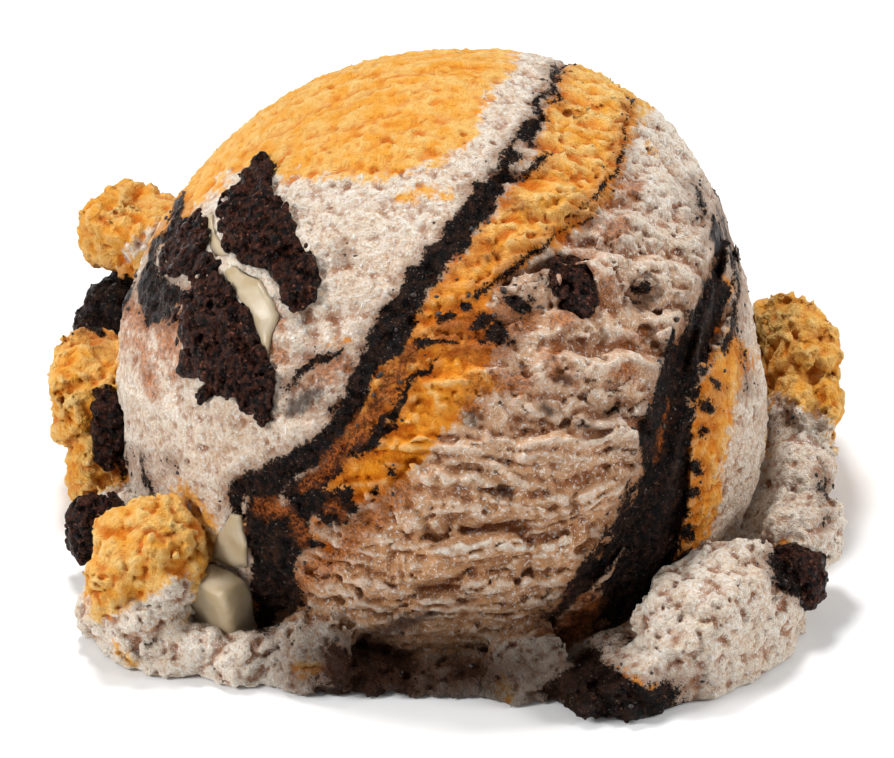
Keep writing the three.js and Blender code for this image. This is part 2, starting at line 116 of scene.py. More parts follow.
# Dark ripples across the face, as centre lines of (right, up, width).
COOKIE_RIPPLES = {
    "centre": [
        (10.9, 31, 1.2), (10, 25, 1), (8.3, 21.8, 1.7), (6.3, 18.5, 2), (2.6, 13.3, 2.9),
        (0.5, 10.9, 3.3), (-1.9, 7.8, 3.3), (-4.2, 4.2, 3), (-6.3, 1.3, 2.7), (-8.1, -1.8, 2.5),
        (-9.7, -5, 2.4), (-12.9, -8.3, 2.6), (-15.6, -10.4, 3.4), (-16.4, -14, 3.2),
        (-15, -18, 3.6), (-13.4, -21, 2.4),
    ],
    "centre_branch": [
        (-0.7, 1.5, 0.9), (-3.2, -1.8, 1.3), (-5.5, -4.5, 1.5), (-8.8, -7.3, 1.7),
        (-11.3, -10.1, 2.2), (-12.9, -12.9, 2.8), (-14.4, -16, 3),
    ],
    "right": [
        (25.8, 18, 1.3), (26.1, 12.5, 1.7), (25.9, 9.3, 2.2), (25, 6.5, 2.6), (23.6, 3.8, 3.3),
        (22.3, 1, 3.6), (21.6, -1.8, 3.9), (21.1, -5, 4.4), (20.7, -8.8, 4.8),
        (20.1, -12.6, 5.3), (19.2, -16.5, 5.2), (17.4, -21, 4.4), (15, -26, 3.8),
    ],
    "right_branch": [(19.2, -9.5, 2.6), (16.8, -14.4, 2.4), (13.8, -18.8, 2), (10.5, -22.2, 1.4)],
}
COOKIE_PATCH = [
    (-24.6, 16.4), (-25.4, 13.6), (-27.2, 11.4), (-27.6, 8.2), (-26.2, 5.2), (-24.2, 5.6),
    (-23.2, 7.2), (-24.6, 8.8), (-25.6, 9.6), (-25.4, 11.8), (-24.2, 13.6),
]
RIPPLE_FLOOR = 3.0  # height above the base at which layers and ripples end

# Layers of orange ice cream, as outlines on the face.
ORANGE_LAYERS = [
    [
        (-27, 12), (-23.5, 14.2), (-20.5, 16.4), (-17.5, 18.6), (-13.5, 17.2), (-9.8, 17.8),
        (-6.8, 16.4), (-3.2, 17), (0.5, 18.6), (3.2, 21), (4.8, 24.8), (6.2, 28), (6.8, 33),
        (-14, 35), (-33, 22), (-32, 12),
    ],
    [
        (11.5, 32), (16, 31), (19.4, 25.4), (17.8, 20.8), (16.8, 17.2), (14.6, 14.2), (12.2, 12.4),
        (9.4, 10.7), (6.3, 9), (4.6, 6.5), (5.6, 3.6), (4, 0.8), (6, -1), (2, -3.6), (-1, -7.4),
        (-4, -10.4), (-8.6, -11.6), (-10.6, -10.4), (-8.4, -3), (-5, 2), (-0.6, 7.8), (3.6, 12.6),
        (7.6, 18), (10.4, 25),
    ],
    [
        (26.6, 4), (28.6, 2.2), (27.4, -2.2), (26.6, -6), (26, -9.6), (25.5, -13.3),
        (24.6, -16.5), (22.8, -20), (20.6, -23.6), (18.2, -26.4), (16, -26), (20, -17),
        (22, -8), (23.5, -1),
    ],
]

# Marks on the face, as lines of (right, up, width): dark crumb, grey smudges, brown stains,
# orange and plain ice cream, and toffee-brown edges. The low ones lie on the collar.
COOKIE_MARKS = [
    [(11.3, 27.8, 0.5), (10.8, 26.8, 0.7)],
    [(10.6, 25.8, 0.6), (10.9, 25.1, 0.8), (9.9, 24.8, 0.4)],
    [(8.7, 23.2, 0.6), (8.8, 23, 0.6)],
    [(8.1, 22.2, 0.3), (7.3, 22, 0.6), (6.6, 21.2, 0.7), (6.3, 20.3, 0.9), (6.5, 19.7, 0.6)],
    [(7.8, 21.1, 0.2), (8.9, 20.7, 0.3), (9.6, 20.1, 0.6), (9, 19.2, 1), (8, 18.3, 0.8),
     (6.6, 17.7, 0.5), (5.8, 17.9, 0.4)],
    [(17.7, 24.7, 0.3), (17.1, 23.6, 0.3), (16.8, 21.8, 0.4), (16.4, 19.9, 0.6),
     (16, 18.3, 0.6), (14.8, 17.2, 0.7), (13.8, 15.8, 0.5), (12.5, 14.8, 0.4)],
    [(13.8, 14.2, 0.4), (12.7, 13.5, 0.5), (11.1, 13.2, 0.4), (9.7, 12.1, 0.6), (9, 11.1, 0.7),
     (7.4, 10.5, 0.8), (6, 9.2, 0.8), (4.6, 8.3, 0.8), (3.1, 7.1, 0.6)],
    [(0, 5.2, 0.9), (0.9, 5.5, 1.2)],
    [(2.2, 6.3, 1.1), (2.6, 6.2, 1.1)],
    [(3.1, 4.2, 1), (4.2, 5.2, 1.5)],
    [(5, 3.9, 2), (5.3, 3.7, 1.8)],
    [(6.3, 3, 0.7), (6.5, 3.1, 0.6)],
    [(6, 6.7, 0.7), (7.4, 6.3, 1.8)],
    [(8.3, 7.2, 0.6), (8.4, 6.8, 0.7)],
    [(3.7, 3, 0.8), (4.4, 3.3, 0.7)],
    [(-1.8, 2.9, 1.5), (-0.2, 3.2, 0.7), (1.7, 2.8, 0.5)],
    [(17.4, 7.9, 0.8), (18.5, 8.1, 1.1)],
    [(17.9, 6.8, 0.6), (17.4, 6.6, 0.5)],
    [(9.2, 8.7, 0.6), (9.3, 8.6, 0.5)],
    [(-4.2, -8.7, 1.1), (-4, -9, 0.7)],
    [(-5.8, -10.2, 0.6), (-5.6, -10.4, 0.5)],
    [(15.1, -3.3, 0.6), (16, -2.9, 0.7)],
    [(12.7, -4.4, 0.4), (13.3, -4.6, 0.4)],
    [(-8.9, 11.1, 0.5), (-8.8, 11, 0.4)],
    [(22.5, 17.5, 0.4), (23.3, 17.2, 0.7), (23.8, 16.2, 0.7), (24, 15.1, 0.6), (23.4, 14.2, 0.4)],
    [(25.3, 15.5, 0.5), (25.8, 14.2, 0.7), (26.4, 12.6, 0.8), (27, 10.5, 0.7),
     (27.3, 8.4, 0.6), (27, 6.1, 0.7), (26.7, 4.2, 0.9), (26, 2.6, 1.1)],
    [(-8.7, 2.4, 0.6), (-9.8, 1.8, 0.8), (-11.3, 1.3, 1.1), (-12.6, 0.4, 0.9),
     (-13.3, -0.7, 0.6), (-14, -1.5, 0.4)],
    [(-28.8, -7, 0.5), (-29, -7.9, 0.6), (-29.4, -9.4, 0.7)],
    [(-27, -7.4, 0.5), (-27.1, -8.7, 0.7), (-26.8, -10.1, 0.8), (-26, -11.4, 0.6)],
    [(-24.8, -7.6, 0.5), (-24.6, -7.8, 0.4)],
    [(-26, -12.6, 0.6), (-24.4, -13.1, 0.7)],
    [(-30.3, -11.4, 0.6), (-31.4, -11.8, 0.7)],
    [(-10.2, -6.4, 2.2), (-12.9, -7.9, 2.6), (-15.9, -9.1, 2.4), (-18.5, -10.3, 1.8),
     (-18.5, -11.9, 1.3), (-17.9, -13.1, 0.7)],
    [(-12.9, -10.5, 2.6), (-10.9, -11.4, 2.4), (-8.8, -11.6, 2), (-7.6, -12.1, 1.1)],
    [(-8.3, -10.3, 1.5), (-10, -12.6, 1.7), (-8.3, -12.9, 0.7)],
    [(-12.7, -12.6, 2.4), (-13.8, -14.2, 4.8), (-15.1, -16.5, 4.2), (-15.5, -18.8, 3.5),
     (-15.5, -21.1, 2), (-15.7, -23, 1.3)],
    [(-11.8, -14.7, 2), (-10.5, -15.1, 0.7)],
    [(24.5, -0.2, 0.9), (25.1, -0.7, 1.1)],
    [(24, -2.7, 1.5), (24.6, -3, 1.3)],
    [(23.8, -5, 1.1), (24.2, -5.2, 0.7)],
    [(23.3, -8.2, 1.5), (23.4, -8.7, 1.1)],
    [(23.1, -10.5, 1.3), (23.4, -10.2, 0.7)],
    [(22.2, -12.4, 1.3), (22.5, -12.6, 0.9)],
    [(22.5, -14.2, 1.8), (22.7, -14.8, 1.1)],
    [(22.2, -16.5, 1.5), (22.9, -15.9, 0.7)],
    [(21.4, -18.1, 1.1), (22.2, -17.7, 0.7)],
    [(18.5, -21.8, 2), (20.3, -22.3, 2)],
    [(19.8, -19.9, 0.7), (22.2, -19.6, 0.5)],
    [(27.2, 4.2, 0.2), (27.8, 1.5, 0.4), (27.9, -1.3, 0.4)],
]
SMUDGES = [
    [(-0.4, -21.2, 0.4), (-2.6, -22.2, 1.3), (-5, -23.3, 1.3), (-7.6, -24.4, 1.1)],
    [(9.2, -2.7, 0.9), (9.7, -3, 0.7)],
    [(5.4, -10.4, 0.7), (5.7, -10.6, 0.6)],
    [(2.8, -3.7, 0.6), (3, -4.1, 0.6)],
    [(-11.3, -1.5, 1.3), (-13.3, -3, 1.5)],
    [(11.1, -0.2, 0.7), (11.8, -0.4, 0.6)],
    [(17.9, 6.6, 0.9), (19.4, 7.4, 0.7)],
]
STAINS = [
    [(-3.9, -0.4, 0.7), (-5, -3, 0.7), (-6.5, -5, 0.7), (-7.8, -6.6, 0.7), (-9.7, -8.2, 0.7),
     (-11.1, -9.6, 0.7), (-12.5, -10.7, 0.6)],
    [(0.9, 4.2, 2.4), (3.7, 4.2, 3.5), (6.9, 5.2, 3.1)],
    [(1.4, 2.4, 1.3), (5.5, 2.2, 1.1)],
    [(5.5, -0.4, 1.8), (7.6, -0.9, 1.5)],
    [(3.5, -0.7, 1.7), (3.9, -1.1, 1.5)],
    [(2.6, -2.4, 1.3), (3, -2.6, 1.1)],
    [(10.7, 0.6, 1.7), (12.2, -0.6, 0.9)],
    [(10, 2, 0.9), (10.2, 1.7, 0.7)],
    [(16.8, 0.3, 1.1), (15.9, 0.1, 0.7)],
    [(15.7, 17.2, 0.7), (17.7, 17, 1.1)],
    [(15, 12.6, 1.3), (16.4, 13.7, 1.3)],
    [(14.8, 15.5, 0.6), (15.1, 15.1, 0.5)],
    [(6.5, 15.7, 1.3), (7.8, 14.8, 0.9)],
    [(4.4, 11.4, 1.1), (5, 11.1, 0.9)],
    [(1.8, 10.5, 0.7), (2.4, 10.2, 0.6)],
    [(-3, -10.2, 1.7), (-4.6, -11.4, 1.5), (-6.3, -12.8, 2), (-8.1, -14.2, 1.3)],
    [(-8.5, -15.6, 1.8), (-10.6, -17.2, 2.4), (-12.5, -18.4, 2), (-12.9, -20.2, 1.3)],
    [(-24.5, 7, 1.1), (-23.9, 5.2, 1.3), (-23.8, 2.9, 0.9), (-23.7, 0.1, 0.7)],
    [(-29.2, 6.2, 1.8), (-27.4, 5.2, 2.6), (-25.8, 5.2, 2.6)],
    [(-25, 5, 1.8), (-24.7, 2.4, 1.8)],
    [(-27.8, 3.4, 1), (-26.8, 1, 1.2), (-26.2, -1.6, 0.6)],
    [(-29, 4.2, 0.6), (-28.6, 2.9, 0.8)],
    [(-30.2, 5.9, 0.6), (-30.3, 4.2, 0.5)],
    [(-27.3, 3.5, 0.9), (-26.9, 2, 0.7)],
    [(-8.6, 1.3, 1.1), (-10.2, 0.4, 1.3), (-11.8, -0.7, 0.7)],
    [(-15, 5.4, 0.7), (-14.4, 4.6, 0.7)],
    [(-15.1, 2.9, 0.9), (-14.8, 1.7, 0.9)],
    [(12.5, 10, 2.4), (12.2, 7, 3.7), (11.3, 5.4, 1.8)],
    [(15.7, -19.8, 0.9), (13.4, -21.8, 2.2), (10.2, -23.6, 2.2), (7.4, -24.8, 1.3)],
    [(23.1, -18.4, 0.9), (21.2, -20.5, 2.2), (18.5, -21.6, 1.8), (15.7, -24.4, 2.2)],
    [(13.8, 9.8, 0.9), (15.3, 8.4, 1.1), (15.1, 7, 0.7)],
    [(24, -21.6, 2.8), (26.8, -19.8, 1.5)],
    [(16.6, 2.9, 0.7), (18.5, 4.2, 0.6)],
]
ORANGE_MARKS = [
    [(-16.4, -11.9, 1.1), (-14.6, -11.9, 1.3)],
    [(-17.9, -13.3, 1.3), (-17, -13.8, 1.1)],
    [(-11.4, -12.9, 0.7), (-10.7, -14.4, 0.6), (-10, -15.4, 0.6)],
    [(-10, -11.7, 0.6), (-9, -12.3, 0.5)],
    [(25.5, 7, 0.7), (26.2, 8.5, 0.9)],
    [(24.6, 3.7, 0.7), (25.5, 4.2, 0.7)],
    [(26, 2.2, 1.3), (24, 1.3, 0.6)],
    [(23.1, -0.7, 0.7), (24.4, -1.5, 0.6)],
    [(21, -2.2, 0.4), (20.9, -4.5, 0.5), (20.7, -6.8, 0.3)],
    [(-3.7, 16.2, 1.1), (-0.9, 16.6, 0.9), (0.9, 16.4, 0.5)],
    [(-10.2, 2.9, 0.3), (-8.3, 3.1, 0.3)],
    [(18.5, 23.8, 1.5), (18.6, 23.4, 0.9)],
    [(19, 20.9, 0.7), (19.4, 20.7, 0.6)],
]
PLAIN_MARKS = [
    [(7.2, 20.9, 0.8), (8.1, 19.9, 1.1), (7.6, 18.8, 0.9), (6.6, 18.3, 0.6)],
    [(-25.3, 11.6, 0.7), (-25.6, 10.5, 0.7), (-25.1, 9.3, 0.6), (-24, 8.8, 0.5)],
    [(-11.1, -14, 0.7), (-9.2, -14.2, 1.5), (-6.9, -13.8, 1.3)],
    [(-12.4, -17, 0.9), (-10.9, -17.2, 0.9)],
]
LOW_COOKIE_MARKS = [
    [(-32.1, 10.5, 2.4), (-32.9, 7.9, 2.2), (-32.9, 5.2, 1.8), (-31.4, 3.8, 1.1)],
    [(-29.5, 7.9, 2.8), (-30.9, 6.1, 1.8)],
    [(30.5, -16.5, 1.8), (31.6, -18.6, 2.4), (33, -19.6, 1.3)],
    [(35.3, -9.4, 0.6), (35.4, -10.9, 0.8)],
    [(32.3, -4.2, 0.6), (32.4, -4.4, 0.5)],
    [(35.4, -12.7, 0.5), (34.9, -14, 0.4)],
    [(-9.2, -25.3, 2.4), (-8.3, -27.3, 3.1), (-6.3, -28.2, 2)],
    [(11.1, -28.1, 2.8), (14.8, -27.6, 3.7), (18.5, -29.2, 2), (20.3, -29.5, 1.1)],
    [(-18.5, -21.2, 1.1), (-17.4, -21.8, 1.3)],
    [(-20.1, -19.2, 0.6), (-19.8, -19.4, 0.6)],
    [(-15.9, -20.7, 1.7), (-16.1, -22.7, 1.5)],
    [(1.4, -27, 1.3), (3.7, -26.6, 1.5)],
]
LOW_ORANGE_MARKS = [
    [(-21.7, -18.1, 1.8), (-19.8, -18.8, 1.5), (-18, -19.9, 1.5), (-16.8, -20.7, 1.3)],
    [(31.4, -15.6, 1.7), (32.9, -17.2, 1.5)],
    [(16.8, -27, 0.8), (18.5, -28.2, 0.6), (21.2, -29, 0.6)],
    [(5.5, -27.7, 1.3), (6, -29, 0.9)],
    [(12.9, -29.2, 1.3), (15.7, -30.1, 1.2), (18.6, -30.3, 0.9)],
    [(-29.2, -24.8, 0.7), (-27.9, -25.8, 1.1)],
    [(-31.6, 7.8, 0.9), (-31, 7.2, 0.7)],
    [(-12.9, -26.4, 1.3), (-11.4, -26.2, 1.5)],
]
LOW_PLAIN_MARKS = [
    [(-30.1, 10.5, 0.9), (-28.8, 11.8, 1.1), (-27.5, 12.9, 0.9), (-26.2, 14, 0.7)],
    [(-30.9, -23.3, 1.7), (-29.1, -23, 2.8), (-26.8, -21.8, 3.1), (-24.2, -20.7, 3.3),
     (-23.4, -19.3, 2.2)],
    [(-26.8, -24.4, 2.8), (-24.5, -23.4, 2.4)],
    [(35.1, -14.8, 1.8), (34.7, -16.6, 2), (34.5, -18.6, 1.7)],
    [(-20.1, -19.9, 1.1), (-19.2, -19.6, 0.7)],
    [(8.2, -24.8, 2), (10.2, -26, 3.4), (11.4, -27.8, 2.6)],
]
# The plain part of the collar's right flap, as an outline.
PLAIN_FLAP = [
    (30.3, -2.7), (31.2, -1.8), (33.2, -3), (35.8, -3.3), (36.2, -5.9), (36.5, -7.9),
    (35.3, -9.1), (35.8, -11.4), (35.1, -14.2), (33.2, -14.7), (32.3, -15.1), (30.5, -15.6),
    (28.8, -14.2), (28.8, -11.4), (30, -8.7), (30.3, -5.9),
]
TOFFEE_MARKS = [
    [(-2.2, 2.8, 0.7), (-2.6, 2.2, 1.2), (-4.2, -0.2, 1.4), (-6.3, -3.3, 1.5), (-8.1, -5.7, 1.7),
     (-10.6, -8.7, 1.4), (-12, -10, 0.9)],
    [(-16.2, -11.5, 1.2), (-15, -11.9, 1.7), (-13.9, -12.3, 1.3)],
    [(-9.7, -11.6, 1), (-8.7, -12.2, 1)],
    [(-12.9, -13.4, 0.9), (-12.2, -14.8, 1.1)],
    [(-18.6, -13.4, 0.9), (-18, -14.6, 0.8)],
    [(14, -20.4, 1.4), (12.2, -23, 2.6), (10.4, -25, 2.4)],
    [(22.6, -19.2, 1.2), (20.4, -21.4, 2.2), (17.6, -24.6, 2)],
    [(20.6, -2.6, 0.1), (20.1, -4.8, 0.3), (19.6, -7.2, 0.2)],
]
# Painted shade at the dark foot of the front, under the ball, as one line of (right, up, width).
FOOT_SHADE = [(-11.5, -25.4, 1.5), (-6, -27, 4.5), (1, -27.5, 7), (7, -26.5, 4.5), (10, -24.5, 1.5)]
# Crests of the torn ledges, as (how far they stand out, line), and hollows likewise.
SHELVES = [
    (1.3, [(11.1, 10.5), (12.9, 10.2), (14.8, 10.9), (16.2, 10.5), (18.5, 10.6), (20.3, 10.5),
           (22.2, 10), (24.2, 8.8)]),
    (1, [(19.6, 5.1), (21.2, 5.4), (23.1, 5.2), (24, 4.5)]),
    (1.2, [(9.4, 2), (12, 1.8), (14.8, 1.2), (16.6, 1.8), (19.4, 1.7), (21.8, 1.4)]),
    (0.8, [(14.8, 14.8), (17.1, 14.6), (18.9, 13.8), (20.3, 12.6)]),
    (0.7, [(22.7, 13.6), (24.4, 13.4), (25.8, 12.6)]),
    (0.9, [(7.4, 16.5), (9.7, 17), (12, 17.2), (14, 17.4)]),
    (0.5, [(6, 12.6), (7.8, 12.9), (9.7, 13.3)]),
    (0.7, [(-0.4, -0.6), (2.8, 0.3), (5.7, 0.7)]),
    (0.9, [(5.3, -5.6), (7.4, -5.7), (9.7, -5.3), (11.3, -5)]),
    (0.7, [(-3.7, -6), (-1.8, -5.7), (0, -6.2), (2.8, -6.1), (4.8, -5.6)]),
    (0.9, [(-5.2, -7.8), (-3.7, -7.9), (-1.4, -8.3), (0.6, -7.9)]),
    (0.6, [(1.8, -8.9), (3.7, -8.5), (5.5, -8.3), (7.6, -9)]),
    (1.5, [(-0.4, -15.3), (1.4, -14.7), (2.8, -14.5), (4.6, -14.7), (6.5, -14.5), (8, -15.7),
           (9.7, -15.2), (11.3, -14.8)]),
    (1.1, [(-2, -19.9), (-0.5, -19.9), (1.4, -19.6), (2.6, -18.7), (3.9, -18.1), (5.7, -17.7)]),
    (0.5, [(-9.9, -20.7), (-6.5, -20.4), (-3.7, -21.3), (-1.8, -20.8)]),
    (0.4, [(-10.2, -18.5), (-8.3, -18.6), (-4.4, -18.4)]),
    (1.4, [(12.5, -4.1), (14.8, -3.9), (16.6, -4.2), (18.6, -5.3)]),
    (1.2, [(12.9, -10.7), (14.3, -9.9), (15.3, -9.4), (17.1, -9.8), (18.5, -10.1)]),
    (0.8, [(7.2, -5.9), (9.7, -5.6), (11.3, -5.6), (13.1, -5.9)]),
    (0.6, [(5.5, -11.2), (8.3, -11.4), (11.1, -11)]),
    (1, [(10.7, -15.9), (12.5, -16.1), (14, -15.5)]),
    (0.6, [(7.6, -18.4), (10.2, -18.1), (12.6, -17.1)]),
    (0.5, [(0, -11.4), (2.3, -11.7), (4.6, -11.3)]),
    (0.6, [(18.5, 18.1), (20.5, 18.3), (21.8, 17.2)]),
    (0.5, [(-1.8, 4.2), (0, 5), (1.5, 5.2)]),
    (0.5, [(11.1, 6.1), (13.8, 5.4), (16.6, 5.9)]),
    (0.4, [(0, 2.2), (2.8, 2.4), (5.5, 3.3)]),
]
HOLLOWS = [
    (1, [(10.6, 12.3), (14, 12)]),
    (0.9, [(8.5, 9.8), (11.1, 10.5)]),
    (0.8, [(5.5, 8.5), (7.8, 9.4)]),
    (1.2, [(0.5, -13.5), (3.7, -13.7), (7.4, -14)]),
    (0.9, [(-1.5, -18.9), (0.6, -18.9)]),
    (0.9, [(6.5, -4.4), (9.7, -4.5)]),
    (1, [(10.7, 2.9), (14.2, 2.5)]),
    (1, [(16.4, 2.5), (19.6, 2.4)]),
    (0.8, [(4.4, -7), (6.1, -6.8)]),
    (0.7, [(-1.3, -14), (-0.6, -14.3)]),
    (0.5, [(-11.9, 5.4), (-11.4, 3.1)]),
    (0.5, [(-9.4, 5.6), (-8.8, 3.9)]),
    (0.7, [(15.2, 15.7), (17.7, 15.7)]),
    (0.8, [(11.1, -4.6), (14, -5.2)]),
    (1.3, [(25.6, 10.5), (25.3, 7), (25.1, 4.1), (24.4, 2.2)]),
    (0.5, [(6, 17.5), (11.1, 17.9)]),
    (0.5, [(14.8, 6.1), (16.2, 5.9)]),
    (0.5, [(1.7, -10.2), (4.8, -10.2)]),
    (0.5, [(9.2, -2.4), (12.9, -2.2)]),
    (0.6, [(16.4, -2.4), (18.5, -2)]),
    (0.6, [(11.1, -13.3), (14.8, -13.5)]),
    (0.4, [(-4.1, -15.9), (-1.8, -16.2)]),
    (0.5, [(14.8, -6.8), (17.9, -7.3)]),
    (0.6, [(11.1, -17.4), (13.8, -17.5)]),
    (0.4, [(18.1, 0), (20.3, 0.4)]),
    (0.4, [(21, 15.3), (22.3, 14.2)]),
]

# Chunks set into the face: outline on it and depth.
CHUNKS = {
    "brownie_upper": (7, [
        (-18.6, 18.3), (-16.4, 19.7), (-15.5, 18.8), (-15.7, 17.2), (-14.3, 14.9), (-12.9, 12.6),
        (-11.3, 10.2), (-10.9, 7.9), (-11.8, 6.6), (-13.1, 5.9), (-14.1, 6.6), (-14.6, 8.4),
        (-15.9, 9.8), (-18, 10.5), (-19.6, 12.6), (-19.9, 14.9), (-19.2, 16.7),
    ]),
    "brownie_lower": (8, [
        (-23.5, 5.6), (-21.7, 8.6), (-20.2, 9.9), (-19.6, 9.4), (-18.9, 7.8), (-17.4, 5.9),
        (-16.6, 3.4), (-15.8, 1.8), (-14.8, -0.8), (-15.1, -3.1), (-16.1, -3.9), (-17.4, -3.1),
        (-18.4, -1.9), (-20, -1.8), (-21.7, -2.2), (-21.9, -1.2), (-21, -0.6), (-23, 0.6),
        (-23.8, 2.1),
    ]),
    "brownie_small": (6, [
        (-25.1, 11.5), (-24, 12.6), (-23.6, 13.7), (-21.9, 14.7), (-21.3, 13.8), (-21.3, 11.7),
        (-20.9, 10.4), (-22.7, 9.2), (-24, 9.4), (-25, 9.8),
    ]),
    "brownie_face": (4, [
        (10.2, 10.4), (11.3, 10), (13.2, 10.2), (13.9, 9.2), (13.9, 6), (13, 4.9), (11.3, 6),
        (10.5, 7.6), (10.9, 8.7),
    ]),
    "white_chunk_upper": (4, [
        (-21.6, 14.9), (-20.6, 14.8), (-20.3, 12.8), (-19.6, 12), (-18.9, 10.9), (-20.2, 10.7),
        (-20.8, 11.5), (-21, 13.2),
    ]),
    "white_chunk_middle": (6, [
        (-19.5, 9.6), (-18.5, 10.1), (-17.4, 9.3), (-16, 8.7), (-15.4, 7.4), (-14.9, 6.7),
        (-14.4, 5.4), (-15, 3.4), (-15.5, 1.9), (-16.3, 2.9), (-16.9, 5.2), (-18.2, 7.2),
        (-19.1, 8.4),
    ]),
    "white_chunk_front": (5, [
        (-20.4, -15.2), (-18.9, -12.4), (-17.9, -12.6), (-17.4, -15.6), (-17.3, -17.4),
        (-19, -17.4), (-21, -16.8),
    ]),
}
CHUNK_PROUD = 0.5  # how far chunks stand out of the ball
POCKET_DEPTH = 2.5  # how deep the ice cream is cut away for them

# Lumps of the collar: azimuth, radius, height, half sizes (outwards, along, up), power,
# roughness, lean and seed.
PLAIN_LUMPS = [
    (335, 36.6, 6.6, (3, 3.2, 3.3), 2.6, 0.18, 0, 12),
    (314, 35.4, 6, (4.4, 7.4, 4.6), 2.6, 0.18, 0, 14),
    (285, 30.4, 2.4, (3, 3, 3.2), 2.6, 0.18, 0, 15),
    (249, 30, 2.6, (3.2, 3.4, 3.4), 2.6, 0.18, 0, 17),
    (220, 36, 3.4, (4.4, 4.8, 3.8), 2.6, 0.18, 0, 19),
]
ORANGE_LUMPS = {
    "orange_block_back_left": [(140, 37, 13, (4.6, 3.6, 3.8), 3.4, 0.12, 0, 31)],
    "orange_flap_left": [
        (177, 32.4, 10.8, (3.6, 4.8, 4.8), 2.6, 0.18, 0, 33),
        (181, 31.2, 4.4, (3.2, 4.4, 4.6), 2.6, 0.18, 0, 34),
    ],
    "orange_lump_front_left": [(219.5, 34.2, 8.6, (5, 4.8, 4.6), 2.6, 0.24, 0, 35)],
    "orange_rim_right": [(9, 33.6, 8.2, (3.4, 8.4, 7), 3, 0.18, 0.1, 36)],
    "orange_lump_back": [(97, 32.6, 6.4, (4, 6, 4.6), 2.6, 0.18, 0, 37)],
}
COOKIE_LUMPS = {
    "cookie_lump_back_left": [(144, 35.7, 5.2, (4.4, 4.8, 4.4), 2.6, 0.18, 0, 32)],
    "cookie_lump_front": [(256, 29.8, 1, (2.6, 3.4, 1.8), 2.6, 0.18, 0, 38)],
    "cookie_rim_front": [(298, 35.2, 1.2, (3.6, 5, 2), 2.6, 0.18, 0, 39)],
}
LOOSE_CHUNKS = {
    "brownie_chip_left": (201, 33.6, 4.8, (2.4, 1.6, 2.6), 3.6, 0.1, 0, 40),
    "brownie_slab_left": (187, 30.6, 10.2, (1.5, 1.4, 3.2), 3.6, 0.08, 0, 41),
    "brownie_right": (329, 38, 5, (2.6, 2.2, 2.6), 3.2, 0.18, 0, 42),
    "white_chunk_base": (230, 31, 4.8, (2, 2.6, 3.3), 7, 0.03, 0.2, 43),
}


# ---------------------------------------------------------------- noise
def ease(t):
    return t * t * (3 - 2 * t)


def mix(a, b, t):
    return a + (b - a) * t


def ramp(low, high, x):
    return ease(np.clip((x - low) / (high - low), 0, 1))


PRIMES = [np.uint32(n) for n in (0x27D4EB2D, 0x165667B1, 0x9E3779B1, 0x85EBCA6B)]


def shuffled(h):
    """Whole numbers turned into other, repeatable ones."""
    h = (h ^ (h >> np.uint32(15))) * np.uint32(0x2C1B3C6D)
    h = (h ^ (h >> np.uint32(12))) * np.uint32(0x297A2D39)
    return h ^ (h >> np.uint32(15))


def scrambled(h):
    """Whole numbers turned into repeatable numbers from 0 to 1."""
    return (shuffled(h) >> np.uint32(8)).astype(np.float32) / np.float32(1 << 24)


def noise(p, size, seed):
    """Smooth noise from -1 to 1 at points p, three arrays, with features of the given size."""
    corners, blends = [], []
    for values, prime in zip(p, PRIMES):
        scaled = np.asarray(values, np.float32) / np.float32(size)
        cell = np.floor(scaled)
        blends.append(ease(scaled - cell))
        low = cell.astype(np.int32).view(np.uint32) * prime
        corners.append((low, low + prime))
    salt = np.array(seed, np.uint32) * PRIMES[3]
    layers = []
    for c in corners[2]:
        rows = []
        for b in corners[1]:
            base = b ^ c ^ salt
            low, high = (scrambled(a ^ base) for a in corners[0])
            rows.append(mix(low, high, blends[0]))
        layers.append(mix(*rows, blends[1]))
    return 2 * mix(*layers, blends[2]) - 1


# Fine noise is turned against the axes, so that its cells don't line up with them.
TURN = np.array(Matrix.Rotation(0.9, 3, Vector((1, 2, 3)).normalized()), np.float32)


def fine(p, size, seed):
    turned = [sum(TURN[row][axis] * p[axis] for axis in range(3)) for row in range(3)]
    return noise(turned, size, seed)


def pebbles(p, size, seed):
    """Rounded crumbs packed side by side: 1 on top of each, 0 in the deepest gaps between them."""
    scaled = [sum(TURN[row][axis] * p[axis] for axis in range(3)) / np.float32(size) for row in range(3)]
    cells = [np.floor(values - np.float32(0.5)) for values in scaled]
    salt = np.array(seed, np.uint32) * PRIMES[3]
    nearest = np.full(scaled[0].shape, FAR, np.float32)
    for corner in itertools.product((0, 1), repeat=3):
        at = [cell + np.float32(step) for cell, step in zip(cells, corner)]
        code = salt
        for values, prime in zip(at, PRIMES):
            code = code ^ values.astype(np.int32).view(np.uint32) * prime
        code = shuffled(code)
        away = 0
        for axis, (values, spot) in enumerate(zip(scaled, at)):
            shift = ((code >> np.uint32(8 * axis)) & np.uint32(255)).astype(np.float32) / 255
            away = away + (values - spot - np.float32(0.15) - np.float32(0.7) * shift) ** 2
        nearest = np.minimum(nearest, away)
    return np.sqrt(np.clip(1 - nearest / 0.6, 0, 1))


# ---------------------------------------------------------------- frames
def face_of(p):
    x, y, z = p
    rise = z - np.float32(BALL_HEIGHT)
    up, out = math.sin(FACE_TILT), math.cos(FACE_TILT)
    return x, y * up + rise * out, rise * up - y * out


def world_of(face):
    u, v, w = face
    up, out = math.sin(FACE_TILT), math.cos(FACE_TILT)
    return u, v * up - w * out, v * out + w * up + BALL_HEIGHT


def face_height(u, v):
    return BALL_RADIUS * (1 - 0.75 * (u * u + v * v) / BALL_RADIUS**2)


